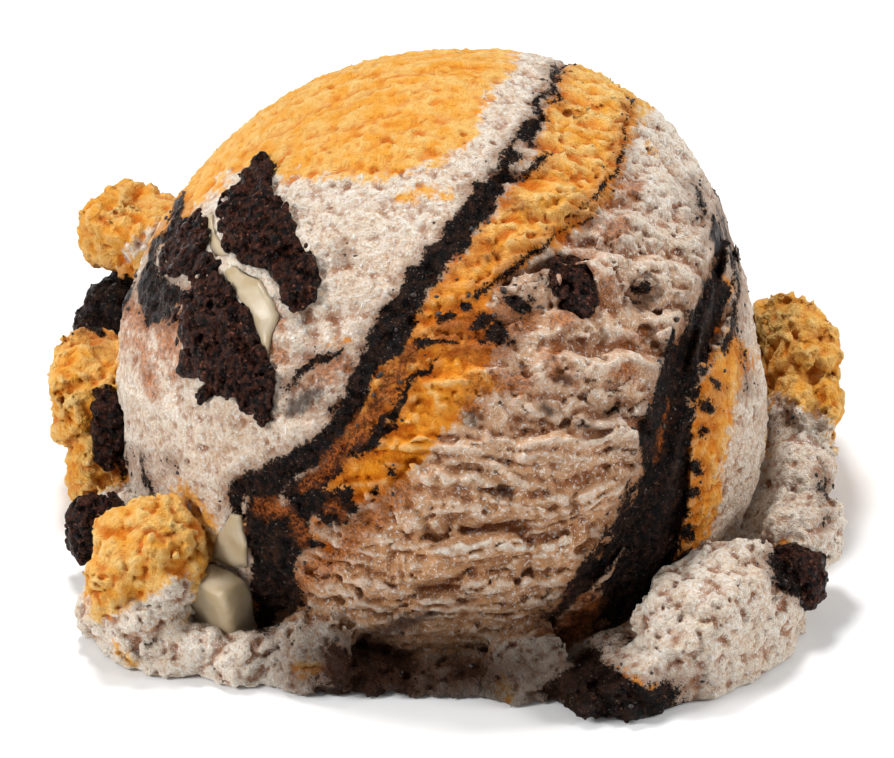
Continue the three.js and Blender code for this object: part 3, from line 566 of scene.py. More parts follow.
def on_outline(face):
    """Where a point lies on the layers' outlines, which lean as they run back through the ball."""
    u, v, w = face
    a, b = u, v
    for _ in range(3):
        depth = face_height(a, b) - w
        a, b = u - LEAN[0] * depth, v - LEAN[1] * depth
    return a, b


# ---------------------------------------------------------------- flat shapes
def along_line(a, b, start, end):
    """Part of the way along a line's piece of the nearest point, and the way across to there."""
    dx, dy = end[0] - start[0], end[1] - start[1]
    way = ((a - start[0]) * dx + (b - start[1]) * dy) / max(dx * dx + dy * dy, 1e-6)
    t = np.clip(way, 0, 1)
    return way, t, a - start[0] - t * dx, b - start[1] - t * dy


def inside_outline(a, b, outline):
    """Signed distance to an outline, positive inside."""
    nearest = np.full(a.shape, 1e9, np.float32)
    inside = np.zeros(a.shape, bool)
    for start, end in zip(outline, outline[1:] + outline[:1]):
        _, _, across, up = along_line(a, b, start, end)
        nearest = np.minimum(nearest, across**2 + up**2)
        (x0, y0), (x1, y1) = start, end
        if y1 != y0:
            inside ^= ((y0 > b) != (y1 > b)) & (a < (b - y0) * (x1 - x0) / (y1 - y0) + x0)
    return np.sqrt(nearest) * np.where(inside, 1, -1)


def inside_ribbon(a, b, line):
    """Signed distance to a ribbon's edge, positive inside."""
    best = np.full(a.shape, -3 * FAR, np.float32)
    for start, end in zip(line, line[1:]):
        _, t, across, up = along_line(a, b, start, end)
        best = np.maximum(best, mix(start[2], end[2], t) / 2 - np.hypot(across, up))
    return best


def near_line(a, b, line, margin):
    xs, ys = [q[0] for q in line], [q[1] for q in line]
    wide = (a > min(xs) - margin) & (a < max(xs) + margin)
    return wide & (b > min(ys) - margin) & (b < max(ys) + margin)


def inside_marks(a, b, lines):
    """Signed distance to the edge of the nearest of several ribbons, positive inside."""
    best = np.full(a.shape, -FAR, np.float32)
    for line in lines:
        near = near_line(a, b, line, 4)
        if near.any():
            best[near] = np.maximum(best[near], inside_ribbon(a[near], b[near], line))
    return best


def shelf(a, b, line):
    """Height of a torn ledge, from 1 on its crest to -0.4 in the hollow above it."""
    nearest = np.full(a.shape, FAR, np.float32)
    above = np.zeros(a.shape, np.float32)
    fade = np.zeros(a.shape, np.float32)
    for start, end in zip(line, line[1:]):
        way, t, across, up = along_line(a, b, start, end)
        away = np.hypot(across, up)
        length = math.dist(start, end)
        closer = away < nearest
        side = (b - start[1]) * (end[0] - start[0]) - (a - start[0]) * (end[1] - start[1])
        above = np.where(closer, np.sign(side) * away, above)
        fade = np.where(closer, ramp(1.2, 0, np.abs(way - t) * length), fade)
        nearest = np.minimum(nearest, away)
    below = np.clip(1 + above / 3.2, 0, 1)
    face = (1 - (1 - below) ** 2) * ramp(0.25, -0.1, above)
    hollow = 0.4 * ramp(0.0, 0.3, above) * ramp(2.2, 0.6, above)
    return (face - hollow) * fade


# ---------------------------------------------------------------- fields
def joined(a, b, soft):
    """Union of two fields, with the crease between them filled over about the given width."""
    h = np.clip(0.5 + 0.5 * (b - a) / soft, 0, 1)
    return mix(b, a, h) - soft * h * (1 - h)


def common(a, b, soft):
    return -joined(-a, -b, soft)


def tornness(face):
    u, v, w = face
    front = mix(LEDGES["quiet"], 1, ramp(-3, 4, u - 0.567 * v + 4.7))
    sides = 1 - 0.85 * ramp(20, 28, np.abs(u))
    return mix(0.75, front, ramp(-8, 4, w)) * sides


def sawtooth(turns, crest):
    """From -0.5 in each hollow up to 0.5 on its crest, steeply at first."""
    part = turns - np.floor(turns)
    rise = 1 - (1 - np.minimum(part / crest, 1)) ** 2
    return np.where(part < crest, rise, (1 - part) / (1 - crest)) - 0.5


def ledges(face, over):
    """Torn ledges, whose lips face up and hang over a little: over is the height above the ball."""
    u, v, w = face
    climb = np.arctan2(v, w) - over * 0.5 / BALL_RADIUS
    wander = LEDGES["wander"] * noise(face, LEDGES["patch"], 3)
    wide = (u * 0.45, v, w)
    ragged = 0.9 * noise(wide, 3, 71) + 0.4 * fine(face, 1.4, 72)
    round_ball = BALL_RADIUS * 2 * math.pi
    turns = (climb * BALL_RADIUS - wander - ragged) / round_ball * LEDGES["count"]
    patches = 0.65 + 0.35 * noise(face, LEDGES["patch"] * 0.6, 5)
    main = LEDGES["height"] * patches * sawtooth(turns, 0.88)
    second = turns * 2.2 + 1.1 * noise(wide, 4.5, 73) + 0.5 * noise(wide, 2, 74)
    second = second + 0.25 * fine(face, 0.9, 76)
    small = (0.6 + 0.4 * fine(face, 4, 75)) * sawtooth(second, 0.86)
    return main, small


def set_ledges(face):
    """The ledges and hollows that the face shows one by one."""
    u, v, w = face
    a = u + 0.5 * fine(face, 2.2, 78) + 0.3 * fine(face, 1.0, 79)
    b = v + 0.5 * fine(face, 2.2, 80) + 0.35 * fine(face, 1.0, 81)
    high, low = np.zeros(u.shape, np.float32), np.zeros(u.shape, np.float32)
    for prominence, line in SHELVES:
        near = near_line(a, b, line, 3.6)
        if near.any():
            height = prominence * shelf(a[near], b[near], line)
            high[near] = np.maximum(high[near], height)
            low[near] = np.minimum(low[near], height)
    for depth, line in HOLLOWS:
        ribbon = [(x, y, 1.2) for x, y in line]
        near = near_line(a, b, ribbon, 3)
        if near.any():
            drop = -depth * ramp(-0.6, 0.5, inside_ribbon(a[near], b[near], ribbon))
            low[near] = np.minimum(low[near], drop)
    return (high + low) * ramp(0, 5, w)


def swell(face):
    total = 0
    for at, amount, spread in SWELLS:
        centre = np.array(at) / np.linalg.norm(at) * BALL_RADIUS
        away = sum((c - x) ** 2 for c, x in zip(centre, face)) / spread**2
        total = total + amount * np.exp(-away)
    return total


def broad_ball(face):
    r = np.sqrt(face[0] ** 2 + face[1] ** 2 + face[2] ** 2)
    return r, 0.45 * noise(face, 13, 1) + 0.25 * noise(face, 6, 2) + swell(face)


def collar_at(azimuth):
    """Base radius, crest radius and crest height of the collar."""
    row = np.clip(np.searchsorted(COLLAR[:, 0], azimuth, side="right") - 1, 0, len(COLLAR) - 2)
    start, end = COLLAR[row, 0], COLLAR[row + 1, 0]
    part = ease((azimuth - start) / (end - start)).astype(np.float32)
    return [mix(COLLAR[row, c], COLLAR[row + 1, c], part).astype(np.float32) for c in (1, 2, 3)]


def collar(p):
    x, y, z = p
    rho = np.hypot(x, y)
    base, crest, height = collar_at(np.degrees(np.arctan2(y, x)) % 360)
    rise = np.clip(z / height, 0, 1)
    torn = 0.9 * noise(p, 3.1, 61) + 0.7 * noise(p, 6, 62)
    lift = 0.8 * noise(p, 4, 63) * np.minimum(1, height / 4)
    rim = mix(base, crest, rise) + torn
    dip = 1 - 0.3 * ramp(2.2, 6, crest - rho)
    return common(rho - rim, z - height * dip - lift, 2.4)


def lump(p, shape):
    azimuth, radius, height, half, power, rough, lean, seed = shape
    x, y, z = p
    up = z - height
    turn = (np.degrees(np.arctan2(y, x)) - azimuth + 180) % 360 - 180
    along = np.radians(turn) * radius
    out = np.hypot(x, y) - radius - lean * up
    local = [value.astype(np.float32) for value in (out, along, up)]
    reach = sum((np.abs(v) / h) ** power for v, h in zip(local, half)) ** (1 / power)
    reach = np.maximum(reach, 1e-3)
    rim = [v / reach for v in local]
    torn = 1 + rough * (noise(rim, 2.6, seed) + 0.7 * noise(rim, 5, seed + 50))
    return (reach - torn) * min(half)


def near_lump(p, shape):
    azimuth, radius, height, half = shape[:4]
    turn = math.radians(azimuth)
    centre = (radius * math.cos(turn), radius * math.sin(turn), height)
    reach = max(half) * 1.5 + LUMP_MARGIN
    near = np.abs(p[0] - centre[0]) < reach
    for values, middle in zip(p[1:], centre[1:]):
        near &= np.abs(values - middle) < reach
    return near


def with_lumps(p, field, shapes):
    for shape in shapes:
        near = near_lump(p, shape)
        if near.any():
            part = lump([values[near] for values in p], shape)
            field[near] = joined(field[near], part, 0.5)
    return field


ORANGE_SHAPES = [s for group in ORANGE_LUMPS.values() for s in group]
COOKIE_SHAPES = [s for group in COOKIE_LUMPS.values() for s in group]


def face_height_at(outline):
    cu, cv = np.mean(outline, axis=0)
    return math.sqrt(BALL_RADIUS**2 - cu * cu - cv * cv)


def pockets(face):
    """Room in the ball for the chunks: positive in it."""
    u, v, w = face
    room = np.full(u.shape, -FAR, np.float32)
    for _, outline in CHUNKS.values():
        floor = face_height_at(outline) - POCKET_DEPTH
        near = near_line(u, v, outline, 1) & (w > floor - 1)
        if near.any():
            sides = inside_outline(u[near], v[near], outline) - 0.1
            room[near] = np.maximum(room[near], np.minimum(sides, w[near] - floor))
    return room


def rough_shape(p):
    """The scoop without its torn surface."""
    face = face_of(p)
    r, broad = broad_ball(face)
    field = (r - BALL_RADIUS - broad).astype(np.float32)
    low = p[2] < COLLAR_TOP
    field[low] = joined(field[low], collar([values[low] for values in p]), 0.6)
    return with_lumps(p, field, PLAIN_LUMPS + ORANGE_SHAPES + COOKIE_SHAPES)


def ripple_depth(face):
    """How far a point lies inside the ripples and the patch of cookie crumb."""
    a, b = on_outline(face)
    a = a + 0.4 * fine(face, 1.8, 101)
    ripple = inside_marks(a, b, COOKIE_RIPPLES.values())
    return np.maximum(ripple, inside_outline(a, b, COOKIE_PATCH)) - FAR * ramp(0, -4, face[2])


def strands(face):
    """Lengthwise strands of the right ripple."""
    u, v, w = face
    along, across = 0.28 * u + 0.96 * v, 0.96 * u - 0.28 * v
    thin = noise((across, along * 0.08, w * 0.3), 0.7, 102)
    return thin + 0.7 * noise((across, along * 0.12, w), 1.7, 103)


def relief(p, field):
    """How far the torn surface stands out of the rough shape."""
    face = face_of(p)
    u, v, w = face
    r, broad = broad_ball(face)
    over = r - BALL_RADIUS - broad
    on_ball = 1 - ramp(0.3, 1.6, over - field)
    torn = tornness(face)
    main, small = ledges(face, over)
    shown = set_ledges(face)
    front = ramp(0, 6, w) * ramp(-6, 2, u - 0.567 * v + 4.7)
    ball_part = torn * (main * (1 - 0.65 * front) + small) + 0.9 * shown
    slots = fine((u * 0.35, v, w), 1.5, 82)
    ball_part -= 0.8 * torn * ramp(0.3, 0.75, slots)
    coarse, small_crumbs = pebbles(p, COARSE_CRUMB, 83), pebbles(p, FINE_CRUMB, 84)
    ball_part += mix(0.3, 1, torn) * (0.22 * coarse + 0.5 * small_crumbs - 0.5)
    ball_part += 0.28 * (1 - torn) * fine((u * 0.3, v, w), 1.3, 86)
    inside = ramp(0, 0.5, ripple_depth(face))
    pressed = ramp(8, 14, u)
    ball_part += inside * (1 - pressed) * (0.6 * pebbles(p, COOKIE_CRUMB, 87) - 0.4)
    ball_part = mix(ball_part, 0.25 * ball_part + 0.7 * strands(face) - 0.6, inside * pressed)
    collar_part = 0.7 * pebbles(p, COLLAR_CRUMB, 85) + 0.6 * coarse + 0.45 * small_crumbs - 1.15
    grain = 0.2 * fine(p, 0.45, 88)
    pores = 0.5 * on_ball * ramp(0.5, 0.85, fine(p, 1.2, 89)) * ramp(-0.2, 0.4, noise(p, 7, 90))
    return mix(collar_part, ball_part, on_ball) + grain - pores


def scoop(p):
    field = rough_shape(p)
    near = np.abs(field) < TEAR_REACH
    if near.any():
        part = [values[near] for values in p]
        torn = field[near] - relief(part, field[near])
        field[near] = np.maximum(torn, pockets(face_of(part)))
    return np.maximum(field, -p[2])


# ---------------------------------------------------------------- surface net
CELL = [np.array(corner) for corner in itertools.product((0, 1), repeat=3)]
EDGES = [(a, b) for a, b in itertools.combinations(CELL, 2) if np.abs(a - b).sum() == 1]


def net_points(field):
    """A point in every cell that the surface crosses: the index of each cell, and the points."""
    inside = field < 0
    size = np.array(field.shape) - 1
    count = np.zeros(size, np.uint8)
    for corner in CELL:
        count += inside[tuple(slice(c, c + n) for c, n in zip(corner, size))]
    crossed = (count > 0) & (count < len(CELL))
    index = np.full(size, -1, np.int32)
    index[crossed] = np.arange(crossed.sum())
    cells = np.argwhere(crossed)
    total, hits = np.zeros(cells.shape), np.zeros(len(cells))
    for a, b in EDGES:
        at_a, at_b = (field[tuple((cells + corner).T)] for corner in (a, b))
        crosses = (at_a < 0) != (at_b < 0)
        t = np.where(crosses, at_a / np.where(crosses, at_a - at_b, 1), 0)
        total += np.where(crosses[:, None], a + t[:, None] * (b - a), 0)
        hits += crosses
    return index, cells + total / hits[:, None]


def net_faces(inside, index):
    quads = []
    for axis in range(3):
        b, c = (axis + 1) % 3, (axis + 2) % 3
        step, step_b, step_c = (np.eye(3, dtype=int)[k] for k in (axis, b, c))
        low = inside[tuple(slice(0, -1) if k == axis else slice(1, -1) for k in range(3))]
        high = inside[tuple(slice(1, None) if k == axis else slice(1, -1) for k in range(3))]
        at = np.argwhere(low != high) + 1 - step
        ring = [at, at - step_b, at - step_b - step_c, at - step_c]
        quad = np.stack([index[tuple(corner.T)] for corner in ring], axis=1)
        leaving = inside[tuple(at.T)]
        quads.append(np.where(leaving[:, None], quad, quad[:, ::-1]))
    return np.concatenate(quads)


def largest_island(points, quads):
    """Drops loose scraps: keeps the points and faces of the largest connected surface."""
    label = np.arange(len(points))
    while True:
        lowest = label[quads].min(axis=1)
        fresh = label.copy()
        np.minimum.at(fresh, quads.ravel(), np.repeat(lowest, 4))
        fresh = fresh[fresh]
        if (fresh == label).all():
            break
        label = fresh
    main = np.bincount(label).argmax()
    kept = label == main
    renumber = np.cumsum(kept) - 1
    return points[kept], renumber[quads[kept[quads[:, 0]]]]


def sampled(field, low, shape, step, mask=None):
    """The field on a grid, worked out in slabs side by side; outside the mask it is left at 1e3."""
    grid = np.full(shape, 1e3, np.float32)

    def slab(k):
        if mask is None:
            cells = np.indices((1,) + tuple(shape[1:])).reshape(3, -1)
        else:
            cells = np.array(np.nonzero(mask[k][None]))
        if not cells.size:
            return
        cells[0] += k
        p = [(low[a] + cells[a] * step).astype(np.float32) for a in range(3)]
        grid[tuple(cells)] = field(p)

    with ThreadPoolExecutor(THREADS) as pool:
        list(pool.map(slab, range(shape[0])))
    return grid


BLOCK = 4  # steps of the fine grid in each step of the coarse one
RELIEF_REACH = 1.6  # how far the torn surface may lie from where the coarse grid sees it


def surface_of(field, low, high, step):
    """Points and faces of a field's surface. A coarse grid first finds where the surface runs."""
    low, high = np.array(low, float), np.array(high, float)
    blocks = np.ceil((high - low) / (BLOCK * step)).astype(int) + 1
    coarse = sampled(field, low, blocks + 1, BLOCK * step)
    corners = [coarse[tuple(slice(c, c + n) for c, n in zip(corner, blocks))] for corner in CELL]
    nearest = np.min(np.abs(corners), axis=0)
    wanted = nearest < BLOCK * step + RELIEF_REACH
    deep = ~wanted & (corners[0] < 0)
    mask, deep = (part.repeat(BLOCK, 0).repeat(BLOCK, 1).repeat(BLOCK, 2) for part in (wanted, deep))
    grid = sampled(field, low, mask.shape, step, mask)
    grid[deep] = -1e3
    index, points = net_points(grid)
    points, quads = largest_island(points, net_faces(grid < 0, index))
    return low + points * step, quads


def smoothed(values, quads, rounds):
    """A value on each point, blurred over the surface."""
    pairs = np.concatenate([quads[:, [k, (k + 1) % 4]] for k in range(4)])
    hits = np.bincount(pairs[:, 0], minlength=len(values))
    for _ in range(rounds):
        total = np.bincount(pairs[:, 0], weights=values[pairs[:, 1]], minlength=len(values))
        values = (values + total) / (1 + hits)
    return values


# ---------------------------------------------------------------- meshes
def mesh_piece(name, points, quads, layers=None):
    mesh = bpy.data.meshes.new(name)
    mesh.vertices.add(len(points))
    mesh.vertices.foreach_set("co", (points * MM).astype(np.float32).ravel())
    mesh.loops.add(quads.size)
    mesh.loops.foreach_set("vertex_index", quads.astype(np.int32).ravel())
    mesh.polygons.add(len(quads))
    corners = quads.shape[1]
    mesh.polygons.foreach_set("loop_start", np.arange(0, quads.size, corners, dtype=np.int32))
    mesh.update(calc_edges=True)
    mesh.validate()
    for layer, values in (layers or {}).items():
        attribute = mesh.attributes.new(layer, "FLOAT", "POINT")
        attribute.data.foreach_set("value", values.astype(np.float32))
    mesh.polygons.foreach_set("use_smooth", np.ones(len(mesh.polygons), bool))
    piece = bpy.data.objects.new(name, mesh)
    bpy.context.scene.collection.objects.link(piece)
    return piece


def flat_base(piece):
    """Turns the many flat faces under the scoop into one."""
    work = bmesh.new()
    work.from_mesh(piece.data)
    level = 0.02 * MM
    under = [f for f in work.faces if all(abs(v.co.z) < level for v in f.verts)]
    bmesh.ops.dissolve_faces(work, faces=under, use_verts=True)
    for face in work.faces:
        if face.normal.z < -0.99 and len(face.verts) > 4:
            face.smooth = False
    work.to_mesh(piece.data)
    work.free()


# ---------------------------------------------------------------- colour layers of the scoop
def over_lumps(p, layer, shapes, cover):
    """A layer that takes in whole lumps of the collar, and as much beside them as cover says."""
    for shape in shapes:
        near = near_lump(p, shape)
        part = lump([values[near] for values in p], shape)
        layer[near] = np.maximum(layer[near], cover - part)
    return layer


def colour_layers(points, quads):
    """For each point of the surface: how far it lies inside each kind of ice cream, and its relief."""
    p = [points[:, axis].astype(np.float32) for axis in range(3)]
    face = face_of(p)
    r, broad = broad_ball(face)
    on_ball = ramp(2.0, 1.2, r - BALL_RADIUS - broad)
    seen = on_ball * ramp(-7, -3, face[2])
    low_seen = ramp(24, 20, p[1])
    above = p[2] - RIPPLE_FLOOR + fine(p, 3, 95)
    warp = [fine(p, size, seed) for size, seed in ((3.5, 91), (1.5, 92), (3.5, 93), (1.5, 94))]
    small_warp = [fine(p, 0.8, seed) for seed in (97, 99)]
    a, b = on_outline(face)
    streaks = noise((face[0] * 0.22, face[1], face[2]), 1.3, 104)
    cap_a = a + 0.8 * warp[0] + 0.4 * warp[1]
    orange = 0.8 * inside_outline(cap_a, b + 0.5 * warp[2] + 0.9 * streaks, ORANGE_LAYERS[0])
    edge_a, edge_b = a + 0.4 * warp[0] + 0.3 * warp[1], b + 0.4 * warp[2] + 0.3 * warp[3]
    for outline in ORANGE_LAYERS[1:]:
        orange = np.maximum(orange, inside_outline(edge_a, edge_b, outline))
    orange = np.minimum(orange, above) - FAR * (1 - on_ball)
    u = face[0] + 0.35 * warp[1] + 0.15 * small_warp[0]
    v = face[1] + 0.35 * warp[3] + 0.15 * small_warp[1]

    def marked(lines, shown):
        return inside_marks(u, v, lines) - FAR * (1 - shown)

    orange = over_lumps(p, np.maximum(orange, marked(ORANGE_MARKS, seen)), ORANGE_SHAPES, 1.2)
    edge_a = a + 0.6 * warp[0] + 0.6 * warp[1] + 0.3 * small_warp[0]
    edge_b = b + 0.6 * warp[2] + 0.6 * warp[3] + 0.3 * small_warp[1]
    cookie = inside_marks(edge_a, edge_b, COOKIE_RIPPLES.values()) - 0.1
    cookie = np.maximum(cookie, inside_outline(edge_a, edge_b, COOKIE_PATCH) + 0.7)
    cookie = np.minimum(cookie, above) - FAR * (1 - on_ball)
    cookie = over_lumps(p, np.maximum(cookie, marked(COOKIE_MARKS, seen)), COOKIE_SHAPES, 1.0)
    plain = marked(PLAIN_MARKS, seen)
    low_plain = np.maximum(inside_marks(u, v, LOW_PLAIN_MARKS), inside_outline(u, v, PLAIN_FLAP))
    plain = np.maximum(plain, low_plain - FAR * (1 - low_seen))
    orange, cookie = np.minimum(orange, -plain), np.minimum(cookie, -plain)
    orange = np.maximum(orange, marked(LOW_ORANGE_MARKS, low_seen))
    cookie = np.maximum(cookie, marked(LOW_COOKIE_MARKS, low_seen))
    height = rough_shape(p)
    return {
        "orange": orange,
        "cookie": cookie,
        "stain": marked(STAINS, seen),
        "smudge": marked(SMUDGES, seen),
        "toffee": marked(TOFFEE_MARKS, seen),
        # Where the painted shade at the foot of the front lies.
        "foot_shade": inside_ribbon(u, v, FOOT_SHADE) - FAR * (1 - low_seen),
        # How torn the surface is, none high on the face and more towards its bottom: its own tan tint,
        # and painted shade that grows downwards.
        "torn": tornness(face) * on_ball * (ramp(17, 6, face[1]) + 0.5 * ramp(0, -16, face[1])),
        "height": height,
        # Positive in hollows of the relief and negative on crests; the colours turn these into painted
        # shade and painted highlight.
        "hollow": smoothed(height, quads, round((HOLLOW_REACH / STEP) ** 2)) - height,
    }


# ---------------------------------------------------------------- materials
def srgb(*values):
    return tuple(((v / 255 + 0.055) / 1.055) ** 2.4 if v > 10 else v / 255 / 12.92 for v in values) + (1,)


class Shader:
    """Short ways to add and link the nodes of one material."""

    def __init__(self, name):
        self.material = bpy.data.materials.new(name)
        self.material.use_nodes = True
        self.tree = self.material.node_tree
        self.surface = self.tree.nodes["Principled BSDF"]

    def link(self, value, socket):
        if isinstance(value, bpy.types.NodeSocket):
            self.tree.links.new(value, socket)
        else:
            socket.default_value = value

    def set_surface(self, inputs):
        """Sets the surface's own inputs."""
        for key, value in inputs.items():
            self.link(value, self.surface.inputs[key])
        return self.material

    def node(self, kind, inputs=(), **settings):
        node = self.tree.nodes.new(kind)
        for key, value in settings.items():
            setattr(node, key, value)
        for key, value in dict(inputs).items():
            self.link(value, node.inputs[key])
        return node

    def place(self):
        return self.node("ShaderNodeTexCoord").outputs["Object"]

    def layer(self, name):
        return self.node("ShaderNodeAttribute", attribute_name=name).outputs["Fac"]

    def noise(self, size, detail=2.0, rough=0.6):
        """Noise from 0 to 1 with features of a size in millimetres."""
        inputs = {"Vector": self.place(), "Scale": 1 / (size * MM), "Detail": detail, "Roughness": rough}
        return self.node("ShaderNodeTexNoise", inputs).outputs["Fac"]

    def cells(self, size):
        inputs = {"Vector": self.place(), "Scale": 1 / (size * MM)}
        return self.node("ShaderNodeTexVoronoi", inputs).outputs["Distance"]

    def math(self, operation, a, b):
        return self.node("ShaderNodeMath", {0: a, 1: b}, operation=operation).outputs[0]

    def range(self, value, low, high, to_low=0.0, to_high=1.0):
        inputs = {"Value": value, "From Min": low, "From Max": high, "To Min": to_low, "To Max": to_high}
        return self.node("ShaderNodeMapRange", inputs, interpolation_type="SMOOTHSTEP").outputs[0]

    def mix(self, part, a, b):
        return self.node("ShaderNodeMix", {0: part, 6: a, 7: b}, data_type="RGBA").outputs[2]

    def tinted(self, base, tints):
        """The base with tints of (where, how much, colour) laid over it one after another."""
        for part, amount, colour in tints:
            base = self.mix(self.math("MULTIPLY", part, amount), base, colour)
        return base

    def mix_value(self, part, a, b):
        return self.node("ShaderNodeMix", {0: part, 2: a, 3: b}, data_type="FLOAT").outputs[0]

    def bump(self, height, depth, strength=1.0):
        inputs = {"Height": height, "Distance": depth * MM, "Strength": strength}
        return self.node("ShaderNodeBump", inputs).outputs["Normal"]

    def blurred_edge(self, layer, grain, width):
        """A layer's signed distance, its edge broken up by grains over a width in millimetres."""
        broken = self.math("SUBTRACT", grain, 0.5)
        return self.math("ADD", self.layer(layer), self.math("MULTIPLY", broken, width))


def ice_cream_material():
    s = Shader("ice_cream")
    coarse, grain, granules = s.noise(0.9, 3.0), s.noise(0.32, 2.0, 0.7), s.noise(0.36, 3.0, 0.75)
    # Painted shade in the gaps between the granules, which the bump sinks too.
    gaps = s.range(granules, 0.48, 0.36)
    # Hollows of the relief: painted shade, warm brown as the ice cream is also crumb-stained there.
    hollow = s.range(s.layer("hollow"), -0.04, 0.24)
    # Painted shade where the surface lies deep below the rough shape.
    deep = s.range(s.layer("height"), 0.1, -0.9)
    # Crests of the relief: painted highlight.
    crest = s.range(s.layer("hollow"), -0.03, -0.28)
    # The torn surface's tan tint, partly its crumb-stained colour and partly painted shade, stronger
    # lower on the face.
    torn = s.layer("torn")
    plain = s.mix(s.range(s.noise(3.0), 0.35, 0.65), srgb(233, 221, 205), srgb(226, 208, 187))
    # Tints over the plain ice cream: the torn surface's tan, with painted shade down the face; painted
    # shade where deep, between granules and in hollows; painted highlight on crests.
    plain = s.tinted(plain, [
        (torn, 0.62, srgb(208, 152, 102)),
        (deep, 0.45, srgb(180, 114, 66)),
        (gaps, 0.6, srgb(196, 138, 88)),
        (hollow, 0.75, srgb(154, 90, 48)),
        (crest, 0.5, srgb(240, 229, 214)),
    ])
    # Painted highlights, near white, on the tops of the granules.
    plain = s.mix(s.range(granules, 0.55, 0.64, 0.0, 0.8), plain, srgb(252, 248, 242))
    dust = s.math("MULTIPLY", s.range(grain, 0.6, 0.7), s.range(coarse, 0.5, 0.65, 0.05, 0.7))
    plain = s.mix(dust, plain, srgb(160, 92, 50))
    orange = s.mix(s.range(s.noise(2.2), 0.35, 0.65), srgb(240, 192, 112), srgb(238, 166, 64))
    # Over the orange, the same tints: the torn surface's deeper orange, with painted shade down the face;
    # painted shade where deep, between granules and in hollows; painted highlight on crests.
    orange = s.tinted(orange, [
        (torn, 0.8, srgb(238, 148, 30)),
        (deep, 0.5, srgb(218, 120, 14)),
        (gaps, 0.5, srgb(230, 142, 26)),
        (hollow, 0.8, srgb(212, 106, 10)),
        (crest, 0.5, srgb(244, 212, 150)),
    ])
    is_orange = s.range(s.blurred_edge("orange", coarse, 3.2), -0.4, 0.5)
    colour = s.mix(is_orange, plain, orange)
    stained = s.range(s.blurred_edge("stain", coarse, 3.4), -1.0, 0.6)
    stain = s.mix(s.range(grain, 0.42, 0.62), srgb(196, 112, 42), srgb(112, 54, 20))
    smudged = s.range(s.blurred_edge("smudge", coarse, 2.4), -0.9, 0.5)
    halo = s.range(s.blurred_edge("cookie", coarse, 1.8), -1.4, 0.0)
    halo_colour = s.mix(is_orange, srgb(118, 74, 46), srgb(176, 80, 18))
    marks = [(stained, 0.75, stain), (smudged, 0.85, srgb(58, 46, 42)), (halo, 0.5, halo_colour)]
    colour = s.tinted(colour, marks)
    dark = s.range(s.blurred_edge("cookie", granules, 1.7), -0.05, 0.25)
    cookie = s.mix(s.range(s.noise(0.8), 0.42, 0.68), srgb(11, 8, 7), srgb(48, 29, 20))
    cookie = s.mix(s.range(grain, 0.63, 0.7), cookie, srgb(84, 52, 36))
    # Pale specks in the dark ripples: painted glints.
    cookie = s.mix(s.range(s.noise(0.2, 1.0), 0.7, 0.76), cookie, srgb(136, 122, 112))
    colour = s.mix(dark, colour, cookie)
    toffee = s.range(s.blurred_edge("toffee", coarse, 2.2), -0.5, 0.4)
    brown = s.mix(s.range(granules, 0.4, 0.62), srgb(66, 30, 14), srgb(178, 96, 40))
    # Painted shade, dark brown, over the foot of the front under the ball.
    foot_shade = s.range(s.blurred_edge("foot_shade", coarse, 2.0), -8.0, 2.6)
    colour = s.tinted(colour, [(toffee, 0.9, brown), (foot_shade, 0.92, srgb(52, 30, 18))])
    wet = s.range(coarse, 0.4, 0.6, 0.45, 0.2)
    return s.set_surface({
        "Base Color": colour,
        "Roughness": s.mix_value(dark, 0.55, wet),
        "Specular IOR Level": 0.1,
        "Subsurface Weight": 0.1,
        "Subsurface Radius": (1.0, 0.6, 0.35),
        "Subsurface Scale": 0.6 * MM,
        "Normal": s.bump(granules, 0.75),
    })


def brownie_material():
    s = Shader("brownie")
    grain = s.noise(0.35, 4.0, 0.7)
    colour = s.mix(s.range(s.noise(0.6, 3.0), 0.42, 0.62), srgb(6, 3, 2), srgb(64, 32, 21))
    # Lighter reddish grains where the bump is raised: crumbs of that colour, brightened as painted
    # highlights.
    colour = s.mix(s.range(grain, 0.58, 0.68), colour, srgb(142, 90, 68))
    beads = s.math("SUBTRACT", grain, s.cells(0.5))
    return s.set_surface({
        "Base Color": colour,
        "Roughness": s.range(s.noise(1.2), 0.4, 0.6, 0.1, 0.5),
        "Specular IOR Level": 0.14,
        "Normal": s.bump(beads, 0.6),
    })


def white_chocolate_material():
    s = Shader("white_chocolate")
    colour = s.mix(s.range(s.noise(2.0), 0.35, 0.7), srgb(174, 158, 132), srgb(162, 142, 109))
    return s.set_surface({
        "Base Color": colour,
        "Roughness": 0.38,
        "Subsurface Weight": 0.2,
        "Subsurface Radius": (1.0, 0.8, 0.5),
        "Subsurface Scale": 1.0 * MM,
        "Normal": s.bump(s.noise(0.9, 2.0), 0.1, 0.3),
    })


# ---------------------------------------------------------------- pieces
def dress(piece, material, slot, nodes):
    piece.data.materials.append(material)
    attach(piece, "root")
    if nodes:
        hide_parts(*nodes)


def make_scoop():
    reach = COLLAR[:, 1:3].max() + 4
    low, high = (-reach, -reach, -STEP * 2.5), (reach, reach, BALL_HEIGHT + BALL_RADIUS + 3)
    points, quads = surface_of(scoop, low, high, STEP)
    layers = colour_layers(points, quads)
    piece = mesh_piece("ice_cream", points, quads, layers)
    flat_base(piece)
    plain = ["vanilla_scoop", "orange_layer_top", "orange_layer_centre", "orange_layer_right"]
    ripples = ["cookie_ripple_centre", "cookie_ripple_right", "cookie_patch_left"]
    nodes = plain + ripples + list(ORANGE_LUMPS) + list(COOKIE_LUMPS)
    dress(piece, ice_cream_material(), "vanilla_ice_cream", nodes)
    return points, layers


